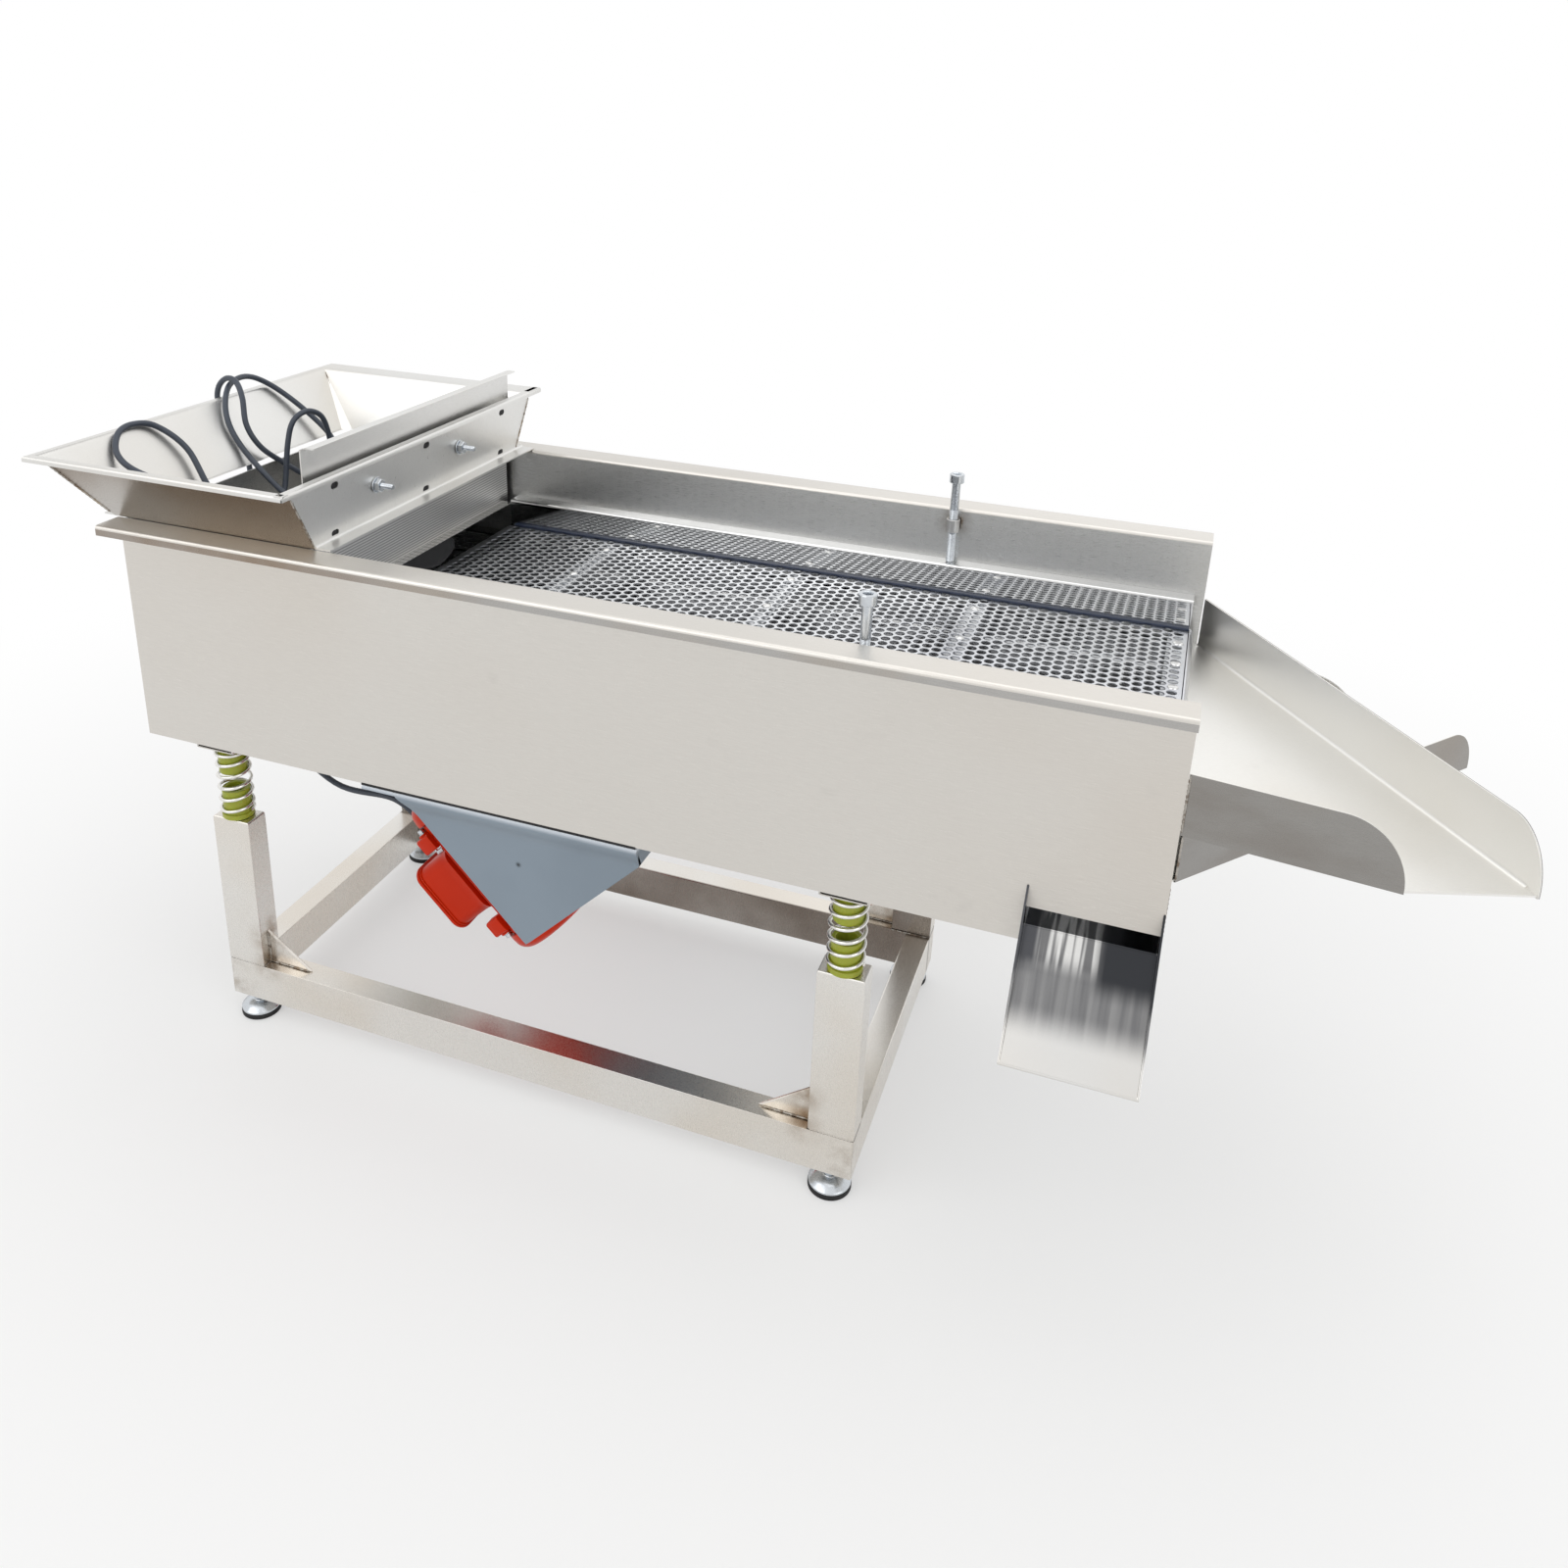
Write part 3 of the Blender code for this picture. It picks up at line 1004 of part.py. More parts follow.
# Route of the power cord, from the front motor's gland to the plug in the hopper.
POWER_ROUTE = [
    (0.326, -0.112, 0.298), (0.240, -0.107, 0.297), (0.140, -0.078, 0.334), (0.066, -0.040, 0.366),
    (0.050, 0.000, 0.470), (0.050, 0.020, 0.575), (0.035, 0.032, 0.656), (-0.001, 0.040, 0.690),
    (-0.009, 0.043, 0.710), (-0.005, 0.044, 0.727), (0.009, 0.043, 0.738), (0.027, 0.038, 0.736),
    (0.041, 0.030, 0.719), (0.052, 0.020, 0.688), (0.066, 0.026, 0.660), (0.082, 0.050, 0.634),
    (0.106, 0.074, 0.608), (0.140, 0.080, 0.591), (0.164, 0.066, 0.583), (0.168, 0.036, 0.582),
    (0.148, 0.012, 0.589), (0.114, 0.002, 0.614), (0.060, 0.002, 0.662), (0.032, 0.010, 0.698),
    (0.012, 0.040, 0.727), (0.007, 0.078, 0.733), (0.016, 0.110, 0.718), (0.044, 0.134, 0.686),
    (0.078, 0.146, 0.648), (0.095, 0.139, 0.618), (0.108, 0.120, 0.606), (0.117, 0.101, 0.614),
    (0.121, 0.092, 0.640), (0.119, 0.089, 0.672), (0.116, 0.081, 0.694), (0.110, 0.062, 0.703),
    (0.104, 0.043, 0.694), (0.101, 0.033, 0.668), (0.102, 0.020, 0.618), (0.108, 0.000, 0.597),
    (0.112, -0.030, 0.588), (0.108, -0.062, 0.600), (0.084, -0.084, 0.634), (0.048, -0.078, 0.682),
    (0.022, -0.094, 0.710), (0.014, -0.120, 0.718), (0.018, -0.148, 0.714), (0.034, -0.168, 0.696),
    (0.062, -0.166, 0.678), (0.108, -0.134, 0.654), (0.156, -0.090, 0.626), (0.186, -0.048, 0.604),
    (0.199, -0.014, 0.594), (0.203, 0.016, 0.592),
]


clear_scene()

STEEL_FRAME = material("frame_steel", (0.50, 0.46, 0.41), 0.36, 1)
STEEL_PANEL = material("panel_steel", (0.62, 0.59, 0.55), 0.28, 1)
STEEL_DECK = material("deck_steel", (0.70, 0.71, 0.72), 0.25, 1)
STEEL_HOPPER = material("hopper_steel", (0.68, 0.66, 0.62), 0.30, 1)
STEEL_CHUTE = material("chute_steel", (0.66, 0.65, 0.63), 0.27, 1)
SPRING_STEEL = material("spring_steel", (0.75, 0.75, 0.72), 0.18, 1)
ZINC = material("zinc", (0.72, 0.74, 0.76), 0.25, 1)
ROTOR_STEEL = material("rotor_steel", (0.35, 0.35, 0.36), 0.45, 1)
URETHANE = material("urethane", (0.42, 0.46, 0.04), 0.45, 0)
RUBBER = material("rubber", (0.012, 0.012, 0.013), 0.7, 0)
SEAL = material("seal_rubber", (0.02, 0.03, 0.05), 0.55, 0)
BRACKET_PAINT = material("bracket_paint", (0.24, 0.29, 0.34), 0.4, 0)
MOTOR_PAINT = material("motor_paint", (0.75, 0.06, 0.01), 0.35, 0)
CORD_RUBBER = material("cord_rubber", (0.03, 0.035, 0.045), 0.5, 0)

SIEVE = bpy.data.objects.new("sieve_origin", None)
bpy.context.scene.collection.objects.link(SIEVE)
SIEVE.location = (-OVERALL_LENGTH / 2, (FINES_REACH - HOPPER_WIDTH / 2) / 2, 0)

make_frame()
make_feet()
make_springs()
make_trough()
make_decks()
make_hopper()
make_clamps()
make_chute("top_chute", -1, CHUTE_DROP, CHUTE_SHORT_WALL, CHUTE_LONG_WALL)
make_chute("middle_chute", 1, CHUTE_DROP + MIDDLE_DROP, MIDDLE_WALL, MIDDLE_WALL)
make_fines_chute()
make_bracket()
make_motors()
make_cords()
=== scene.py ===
"""Looks of the linear vibrating sieve: steel sheet, springs, perforated decks, motors and cord.

Places are in metres and written as in the CAD source: X from the hopper's left rim, Y from the trough's
middle plane, Z from the floor. ORIGIN takes them to the row frame. Turned and slab profiles are in millimetres.
"""
import math

import bmesh
import bpy
from mathutils import Matrix, Vector


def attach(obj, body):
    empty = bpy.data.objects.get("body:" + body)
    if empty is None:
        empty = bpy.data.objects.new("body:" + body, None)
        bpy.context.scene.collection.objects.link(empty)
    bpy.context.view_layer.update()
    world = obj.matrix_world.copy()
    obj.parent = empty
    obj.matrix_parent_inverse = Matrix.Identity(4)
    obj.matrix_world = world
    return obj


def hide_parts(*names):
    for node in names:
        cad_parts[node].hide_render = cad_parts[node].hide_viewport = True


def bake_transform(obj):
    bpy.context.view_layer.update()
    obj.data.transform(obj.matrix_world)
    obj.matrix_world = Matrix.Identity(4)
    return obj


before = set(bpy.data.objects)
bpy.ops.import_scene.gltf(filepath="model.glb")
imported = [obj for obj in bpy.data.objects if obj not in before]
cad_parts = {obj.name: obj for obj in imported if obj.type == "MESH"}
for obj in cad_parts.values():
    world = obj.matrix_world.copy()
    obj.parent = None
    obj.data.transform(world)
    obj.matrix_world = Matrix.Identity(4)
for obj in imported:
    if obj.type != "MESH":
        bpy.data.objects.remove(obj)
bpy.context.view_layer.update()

ORIGIN = Vector((-0.7325, 0.01875, 0))
MM = 0.001
QUARTER = math.pi / 2
ENDS = (-1, 1)
SIDES = (("front", -1), ("back", 1))


def at(x, y, z):
    return Vector((x, y, z)) + ORIGIN


def link(item):
    bpy.context.scene.collection.objects.link(item)
    return item


# Camera

CAMERA_PLACE = (0.414068, -1.221999, 1.112706)
CAMERA_YAW = -0.3465
CAMERA_PITCH = -0.349
CAMERA_ROLL = 0.029
CAMERA_LENS = 29.96
CAMERA_SHIFT = (0.0338, -0.1507)


def make_camera():
    forward = Vector((math.sin(CAMERA_YAW) * math.cos(CAMERA_PITCH),
                      math.cos(CAMERA_YAW) * math.cos(CAMERA_PITCH), math.sin(CAMERA_PITCH)))
    flat = Vector((math.cos(CAMERA_YAW), -math.sin(CAMERA_YAW), 0))
    rise = flat.cross(forward)
    right = flat * math.cos(CAMERA_ROLL) + rise * math.sin(CAMERA_ROLL)
    up = -flat * math.sin(CAMERA_ROLL) + rise * math.cos(CAMERA_ROLL)
    data = bpy.data.cameras.new("camera")
    data.lens = CAMERA_LENS
    data.sensor_width = 36
    data.shift_x, data.shift_y = CAMERA_SHIFT
    data.clip_start = 0.05
    data.clip_end = 60
    made = link(bpy.data.objects.new("camera", data))
    turn = Matrix((right, up, -forward)).transposed().to_4x4()
    made.matrix_world = Matrix.Translation(CAMERA_PLACE) @ turn
    bpy.context.scene.camera = made


make_camera()


# Materials

LOOKS = {}


def add_node(tree, kind, links=None, **values):
    """A node with its sockets and settings given by name, and links from other nodes' sockets."""
    made = tree.nodes.new(kind)
    for key, value in values.items():
        socket = key.replace("_", " ")
        if socket in made.inputs:
            made.inputs[socket].default_value = value
        else:
            setattr(made, key, value)
    for key, source in (links or {}).items():
        tree.links.new(source, made.inputs[key])
    return made


class Look:
    """One node material, with short ways to add the textures that its shader reads."""

    def __init__(self, name, color, roughness, metallic=0.0, **sockets):
        LOOKS[name] = self
        self.made = bpy.data.materials.new(name)
        self.made.use_nodes = True
        self.made.diffuse_color = (*color, 1)
        self.tree = self.made.node_tree
        self.shader = self.tree.nodes["Principled BSDF"]
        self.tone = color
        sockets.update(Base_Color=(*color, 1), Roughness=roughness, Metallic=metallic)
        for socket, value in sockets.items():
            self.shader.inputs[socket.replace("_", " ")].default_value = value
        self.place = self.node("ShaderNodeTexCoord").outputs["Object"]

    def node(self, kind, links=None, **values):
        return add_node(self.tree, kind, links, **values)

    def noise(self, scale, stretch=(1, 1, 1), detail=4.0, roughness=0.55):
        mapped = self.node("ShaderNodeMapping", {"Vector": self.place}, Scale=stretch)
        return self.node("ShaderNodeTexNoise", {"Vector": mapped.outputs["Vector"]}, Scale=scale, Detail=detail,
                         Roughness=roughness).outputs["Fac"]

    def waves(self, direction, scale, distortion, detail, detail_scale):
        return self.node("ShaderNodeTexWave", {"Vector": self.place}, wave_type="BANDS", bands_direction=direction,
                         wave_profile="SIN", Scale=scale, Distortion=distortion, Detail=detail,
                         Detail_Scale=detail_scale).outputs["Fac"]

    def spread(self, source, low, high, to_low, to_high):
        return self.node("ShaderNodeMapRange", {"Value": source}, interpolation_type="SMOOTHSTEP", From_Min=low,
                         From_Max=high, To_Min=to_low, To_Max=to_high).outputs["Result"]

    def patches(self, scale, low, high, to_low, to_high, stretch=(1, 1, 1)):
        """Cloudy noise, spread between two values."""
        return self.spread(self.noise(scale, stretch), low, high, to_low, to_high)

    def near(self, points, reach):
        """1 at the points, falling to 0 at that distance."""
        total = None
        for point in points:
            gap = self.node("ShaderNodeVectorMath", {0: self.place}, operation="DISTANCE")
            gap.inputs[1].default_value = at(*point)
            here = self.spread(gap.outputs["Value"], 0, reach, 1, 0)
            if total is None:
                total = here
            else:
                total = self.node("ShaderNodeMath", {0: total, 1: here}, operation="MAXIMUM").outputs[0]
        return total

    def along(self, axis, low, high):
        """0 before one place on an axis, 1 after another, both as in the CAD source."""
        parts = self.node("ShaderNodeSeparateXYZ", {"Vector": self.place})
        shift = ORIGIN["XYZ".index(axis)]
        return self.spread(parts.outputs[axis], low + shift, high + shift, 0, 1)

    def stain(self, color, *sources):
        """Mixes the base colour towards another where all the sources are high."""
        share = sources[0]
        for source in sources[1:]:
            share = self.node("ShaderNodeMath", {0: share, 1: source}, operation="MULTIPLY").outputs[0]
        mixed = self.node("ShaderNodeMix", {0: share}, data_type="RGBA")
        if isinstance(self.tone, tuple):
            mixed.inputs[6].default_value = (*self.tone, 1)
        else:
            self.tree.links.new(self.tone, mixed.inputs[6])
        mixed.inputs[7].default_value = (*color, 1)
        self.tone = mixed.outputs[2]
        self.tree.links.new(self.tone, self.shader.inputs["Base Color"])

    def rough(self, source, low, high):
        self.tree.links.new(self.spread(source, 0.3, 0.7, low, high), self.shader.inputs["Roughness"])

    def bump(self, source, strength, distance):
        made = self.node("ShaderNodeBump", {"Height": source}, Strength=strength, Distance=distance)
        before = self.shader.inputs["Normal"].links
        if before:
            self.tree.links.new(before[0].from_socket, made.inputs["Normal"])
        self.tree.links.new(made.outputs["Normal"], self.shader.inputs["Normal"])


def shade(color, share):
    return tuple(c * share for c in color)


def brushed(name, color, roughness, grain, clouds, depth, dull=(0.55, 0.49, 0.42)):
    """Brushed sheet: fine lines along one axis, soft cloudy patches and faint handling marks."""
    look = Look(name, color, roughness, 1.0)
    lines = look.noise(26, grain, 5, 0.6)
    cloud = look.noise(clouds, (1, 1, 1), 3, 0.5)
    spots = look.noise(14, (1, 1, 1), 4, 0.6)
    look.stain(shade(color, 1 - depth), look.spread(lines, 0.35, 0.75, 0, 0.6))
    look.stain(tuple(c * d / 0.5 * 0.86 for c, d in zip(color, dull)), look.spread(cloud, 0.42, 0.7, 0, 0.55))
    look.stain(shade(color, 0.8), look.spread(spots, 0.66, 0.8, 0, 0.35))
    look.rough(lines, roughness * 0.8, roughness * 1.3)
    look.bump(lines, 0.04, 0.0003)
    look.bump(cloud, 0.02, 0.004)


def painted(name, color, roughness, peel, metallic, **sockets):
    look = Look(name, color, roughness, metallic, **sockets)
    cloud = look.noise(6, (1, 1, 1), 3, 0.5)
    fine = look.noise(420, (1, 1, 1), 3, 0.6)
    look.stain(shade(color, 0.82), look.spread(cloud, 0.4, 0.72, 0, 0.5))
    look.stain(shade(color, 1.25), look.spread(fine, 0.6, 0.85, 0, 0.25))
    look.rough(cloud, roughness * 0.85, roughness * 1.25)
    look.bump(fine, peel, 0.0003)
    return look


def plain(name, color, roughness, metallic, stains, rough=None, bump=None, **sockets):
    """A stain is (colour, scale, from, to, share), rough is (low, high, scale), bump is (scale, strength, distance)."""
    look = Look(name, color, roughness, metallic, **sockets)
    for tone, scale, low, high, share in stains:
        look.stain(tone, look.patches(scale, low, high, 0, share))
    if rough:
        look.rough(look.noise(*rough[2:]), *rough[:2])
    if bump:
        look.bump(look.noise(bump[0]), *bump[1:])


GRAIN_UP, GRAIN_X, GRAIN_CHUTE, GRAIN_NONE = (60, 60, 5), (3, 120, 120), (4, 110, 110), (60, 60, 60)
DULL_DECK, DULL_HOPPER = (0.5, 0.5, 0.52), (0.52, 0.5, 0.475)
for row in (
    ("frame_steel", (0.78, 0.76, 0.725), 0.27, GRAIN_UP, 4.5, 0.04, (0.53, 0.49, 0.44)),
    ("panel_steel", (0.69, 0.665, 0.625), 0.34, GRAIN_X, 1.8, 0.07, (0.53, 0.505, 0.48)),
    # Lip of the panel sheet: a darker copy of panel_steel, painted shade.
    ("lip_steel", (0.44, 0.43, 0.415), 0.24, GRAIN_X, 6, 0.16),
    ("inner_steel", (0.67, 0.67, 0.66), 0.3, GRAIN_X, 2.4, 0.16, (0.48, 0.49, 0.51)),
    ("deck_steel", (0.8, 0.815, 0.84), 0.31, GRAIN_NONE, 5, 0.1, DULL_DECK),
    # Lower deck, seen under the upper one: a darker copy of deck_steel, painted shade.
    ("lower_deck_steel", (0.36, 0.365, 0.38), 0.3, GRAIN_NONE, 5, 0.1, DULL_DECK),
    # Bars under the upper deck: darker than deck_steel, painted shade round the holes over them.
    ("bar_steel", (0.6, 0.61, 0.62), 0.3, GRAIN_NONE, 5, 0.08, (0.5, 0.5, 0.51)),
    ("feed_steel", (0.46, 0.455, 0.44), 0.22, GRAIN_X, 3, 0.12),
    ("hopper_steel", (0.75, 0.745, 0.725), 0.34, GRAIN_UP, 3, 0.08, DULL_HOPPER),
    ("gate_steel", (0.74, 0.735, 0.72), 0.36, (60, 5, 60), 3, 0.08, DULL_HOPPER),
    # Front wall's outer face of the hopper sheet: a darker copy of hopper_steel, painted shade.
    ("hopper_front_steel", (0.5, 0.475, 0.445), 0.26, (60, 4, 60), 4, 0.14),
    ("chute_steel", (0.84, 0.83, 0.8), 0.36, GRAIN_CHUTE, 3.5, 0.06, (0.52, 0.505, 0.48)),
    # Outer faces of the chute walls: a darker copy of chute_steel, painted shade.
    ("chute_side_steel", (0.31, 0.3, 0.285), 0.24, GRAIN_CHUTE, 5, 0.16),
    # Polished floor of the fines chute, carrying painted reflections and shade (below).
    ("fines_steel", (0.74, 0.735, 0.72), 0.17, (110, 4, 110), 3, 0.08),
):
    brushed(*row)

FRAME_ENDS, FRAME_HALF = (0.1344, 0.9232), 0.198
FRAME_WELDS = [(x, y, z) for x in (0.19, 0.868) for y in (-0.183, 0.183) for z in (0.082, 0.118)]
FRAME_CORNERS = [(x, y, 0.05) for x in FRAME_ENDS for y in (-FRAME_HALF, FRAME_HALF)]
look = LOOKS["frame_steel"]
look.stain((0.3, 0.22, 0.15), look.near(FRAME_WELDS, 0.034), look.patches(45, 0.3, 0.62, 0.1, 0.9))
look.stain((0.38, 0.32, 0.26), look.near(FRAME_CORNERS, 0.05), look.patches(60, 0.4, 0.7, 0, 0.55))
# Painted dark reflection: a dark band on the inner faces of the back rail and back posts, between Y 0.166 and 0.169.
look.stain((0.19, 0.155, 0.13), look.along("Y", 0.16, 0.1662), look.along("Y", 0.1725, 0.169),
           look.patches(4, 0.25, 0.7, 0.45, 0.95))
# Painted shade on the panel's turned-down lip, browner and darker towards the left.
look = LOOKS["lip_steel"]
look.stain((0.27, 0.2, 0.145), look.along("X", 0.62, 0.2), look.patches(9, 0.25, 0.7, 0.35, 1))
look = LOOKS["inner_steel"]
look.stain((0.26, 0.22, 0.19), look.near([(0.9, 0.21, 0.626)], 0.026), look.patches(70, 0.3, 0.6, 0.2, 0.9))
look = LOOKS["feed_steel"]
ridges = look.waves("Y", 34, 0.9, 1.5, 0.35)
look.stain((0.27, 0.265, 0.255), look.spread(ridges, 0.25, 0.85, 0, 0.75))
look.bump(ridges, 0.1, 0.0004)
look = LOOKS["gate_steel"]
look.stain((0.27, 0.27, 0.265), look.along("Z", 0.636, 0.626),
           look.spread(look.waves("Z", 100, 0.8, 1, 0.2), 0.25, 0.8, 0, 0.75))
# Painted shade under the rim: browner and darker towards the top of the front wall.
look = LOOKS["hopper_front_steel"]
look.stain((0.25, 0.185, 0.13), look.along("Z", 0.655, 0.712), look.patches(8, 0.2, 0.7, 0.3, 1))
look = LOOKS["chute_side_steel"]
look.stain((0.24, 0.22, 0.2), look.patches(5, 0.4, 0.72, 0, 0.8, (1, 1, 3)))
# Painted reflections and shade on the fines chute floor, as streaks that vary along X:
look = LOOKS["fines_steel"]
lines = look.noise(12, (9, 0.4, 0.25), 2, 0.5)
# a dark streaked band between Z 0.35 and 0.38, painted shade;
look.stain((0.17, 0.17, 0.175), look.along("Z", 0.33, 0.352), look.along("Z", 0.386, 0.37),
           look.spread(lines, 0.3, 0.7, 0.78, 1))
# darker streaks above Z 0.37, painted reflection;
look.stain((0.13, 0.13, 0.135), look.along("Z", 0.368, 0.38), look.spread(lines, 0.44, 0.54, 0, 0.9))
# near-black above Z 0.37 right of X 1.13 and dark above Z 0.37 left of X 1.08, painted shade where the panel shades the
# floor.
look.stain((0.045, 0.047, 0.052), look.along("Z", 0.36, 0.376), look.along("X", 1.128, 1.142))
look.stain((0.09, 0.092, 0.1), look.along("Z", 0.366, 0.38), look.along("X", 1.086, 1.078))

plain("polished_steel", (0.74, 0.74, 0.735), 0.03, 1, [((0.62, 0.62, 0.62), 9, 0.45, 0.75, 0.5)],
      (0.02, 0.05, 26, (4, 90, 90)))
plain("weld_bead", (0.4, 0.375, 0.34), 0.3, 1, [((0.16, 0.12, 0.09), 160, 0.45, 0.62, 0.9),
                                                ((0.34, 0.25, 0.15), 40, 0.55, 0.75, 0.7)],
      (0.22, 0.45, 200), (900, 0.2, 0.0003))
plain("spring_steel", (0.8, 0.79, 0.76), 0.14, 1, [((0.5, 0.47, 0.42), 60, 0.5, 0.75, 0.5)], (0.1, 0.24, 90))
plain("zinc", (0.6, 0.63, 0.66), 0.22, 1, [((0.45, 0.47, 0.5), 70, 0.45, 0.75, 0.6)], (0.14, 0.32, 110),
      (500, 0.05, 0.0002))
plain("rotor_steel", (0.35, 0.35, 0.36), 0.42, 1, [((0.2, 0.19, 0.18), 50, 0.45, 0.75, 0.6)])
plain("urethane", (0.32, 0.35, 0.026), 0.38, 0, [((0.3, 0.35, 0.02), 35, 0.45, 0.75, 0.7)], None,
      (240, 0.06, 0.0003), Subsurface_Weight=0.15, Subsurface_Scale=0.004)
plain("rubber", (0.014, 0.014, 0.015), 0.6, 0, [((0.035, 0.034, 0.033), 80, 0.5, 0.8, 0.7)], None,
      (600, 0.15, 0.0003), Specular_IOR_Level=0.3)
plain("seal_rubber", (0.02, 0.03, 0.06), 0.42, 0, [((0.045, 0.055, 0.085), 90, 0.5, 0.8, 0.7)], None,
      (500, 0.1, 0.0003))
plain("cord_rubber", (0.04, 0.05, 0.07), 0.4, 0, [((0.065, 0.078, 0.105), 45, 0.45, 0.75, 0.6)], None,
      (700, 0.08, 0.0002))
painted("motor_paint", (0.56, 0.024, 0.002), 0.36, 0.12, 0, Specular_IOR_Level=0.14)
look = painted("bracket_paint", (0.24, 0.292, 0.345), 0.36, 0.08, 0.35)
# Painted highlight: a lighter band along the rounded top fold, between Z 0.370 and 0.377.
look.stain((0.62, 0.66, 0.71), look.along("Z", 0.37, 0.377))
look.stain((0.03, 0.035, 0.04), look.near([(0.543, -0.203, 0.319)], 0.0045))


# Mesh making

class Shape:
    """Closed shells gathered into one mesh."""

    def __init__(self, turn=None):
        self.verts = []
        self.faces = []
        self.kinds = []
        self.turn = turn or Matrix.Identity(4)
        self.kind = 0

    def add(self, verts, faces):
        base = len(self.verts)
        self.verts += [self.turn @ Vector(v) for v in verts]
        for face in faces:
            self.faces.append(tuple(base + i for i in face))
            self.kinds.append(self.kind)
        return self

    def rings(self, rings, closed=False):
        size = len(rings[0])
        faces = []
        for r in range(len(rings) if closed else len(rings) - 1):
            here = r * size
            there = ((r + 1) % len(rings)) * size
            for i in range(size):
                j = (i + 1) % size
                faces.append((here + i, here + j, there + j, there + i))
        if not closed:
            last = (len(rings) - 1) * size
            faces.append(tuple(range(size)))
            faces.append(tuple(last + i for i in range(size)))
        return self.add([p for ring in rings for p in ring], faces)

    def prism(self, outline, along, low, high):
        def point(pair, depth):
            a, b = pair
            return {"X": (depth, a, b), "Y": (a, depth, b), "Z": (a, b, depth)}[along]
        return self.rings([[point(pair, low) for pair in outline], [point(pair, high) for pair in outline]])

    def box(self, low, high):
        x0, y0, z0 = low
        x1, y1, z1 = high
        return self.prism([(x0, y0), (x1, y0), (x1, y1), (x0, y1)], "Z", z0, z1)

    def turned(self, profile, sides, place=(0, 0, 0), axis="Z", closed=False):
        """Profile of (radius, height) in millimetres. A third item makes a hexagon, given across its flats."""
        rings = []
        for radius, height, *hexagon in profile:
            ring = []
            for i in range(sides):
                angle = math.tau * i / sides
                off = (angle + math.pi / 6) % (math.pi / 3) - math.pi / 6
                reach = (radius / 2 / math.cos(off) if hexagon else radius) * MM
                a, b, h = reach * math.cos(angle), reach * math.sin(angle), height * MM
                ring.append(Vector((h, a, b) if axis == "X" else (a, b, h)) + Vector(place))
            rings.append(ring)
        return self.rings(rings, closed)

    def slab(self, half_x, half_y, radius, levels, centre=(0, 0)):
        """Round-cornered block along Z, in millimetres. Each level is (inset, height)."""
        return self.rings([[Vector((a, b, z)) * MM for a, b in
                            rounded(half_x - inset, half_y - inset, max(radius - inset, 0.4), 6, centre)]
                           for inset, z in levels])

    def bead(self, points, radius, step=0.0016, sides=8):
        """Rippled weld bead along a line of points."""
        path = []
        for a, b in zip(points, points[1:]):
            a, b = Vector(a), Vector(b)
            count = max(2, round((b - a).length / step))
            path += [a.lerp(b, i / count) for i in range(count)]
        path.append(Vector(points[-1]))
        radii = []
        for k in range(len(path)):
            end = min(k, len(path) - 1 - k)
            radii.append(radius * (0.86 + 0.16 * math.sin(k * 2.1)) * min(1, 0.45 + 0.3 * end))
        return self.rings(sweep(path, radii, sides))

    def mesh(self, name, looks):
        mesh = bpy.data.meshes.new(name)
        work = bmesh.new()
        made = [work.verts.new(v + ORIGIN) for v in self.verts]
        for face, kind in zip(self.faces, self.kinds):
            work.faces.new([made[i] for i in face]).material_index = kind
        bmesh.ops.recalc_face_normals(work, faces=work.faces)
        work.to_mesh(mesh)
        work.free()
        for look in looks:
            mesh.materials.append(LOOKS[look].made)
        return mesh

    def make(self, name, slot, looks=None, smooth=35, bevel=0, segments=3, cuts=(), node=None, body="trough"):
        """One piece of the scene: its body, its slot, and the CAD node that it replaces."""
        looks = looks or [slot]
        made = link(bpy.data.objects.new(name, self.mesh(name, looks)))
        if cuts:
            tools = []
            for cut in cuts:
                tools.append(link(bpy.data.objects.new("tool", cut.mesh("tool", looks[:1]))))
                change = made.modifiers.new("cut", "BOOLEAN")
                change.operation = "DIFFERENCE"
                change.solver = "EXACT"
                change.object = tools[-1]
            bpy.context.view_layer.update()
            graph = bpy.context.evaluated_depsgraph_get()
            mesh = bpy.data.meshes.new_from_object(made.evaluated_get(graph))
            made.modifiers.clear()
            made.data = mesh
            for tool in tools:
                bpy.data.objects.remove(tool, do_unlink=True)
        made.data.shade_smooth()
        made.data.set_sharp_from_angle(angle=math.radians(smooth))
        if bevel:
            add_bevel(made, bevel, segments)
        if body:
            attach(made, body)
        if node:
            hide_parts(node)
        return made


def add_bevel(item, width, segments=2, angle=32):
    change = item.modifiers.new("edges", "BEVEL")
    change.width = width
    change.segments = segments
    change.limit_method = "ANGLE"
    change.angle_limit = math.radians(angle)
    change.use_clamp_overlap = True
    change.harden_normals = True
    change.miter_outer = "MITER_ARC"


def add_weld(item):
    change = item.modifiers.new("join", "WELD")
    change.merge_threshold = 0.00002


def rounded(half_x, half_y, radius, steps=5, centre=(0, 0)):
    """Rectangle with round corners, as (a, b) pairs."""
    points = []
    for k, (sx, sy) in enumerate(((1, 1), (-1, 1), (-1, -1), (1, -1))):
        for i in range(steps + 1):
            angle = QUARTER * (k + i / steps)
            points.append((centre[0] + sx * (half_x - radius) + radius * math.cos(angle),
                           centre[1] + sy * (half_y - radius) + radius * math.sin(angle)))
    return points


# Cord, from the front motor's gland to the plug in the hopper

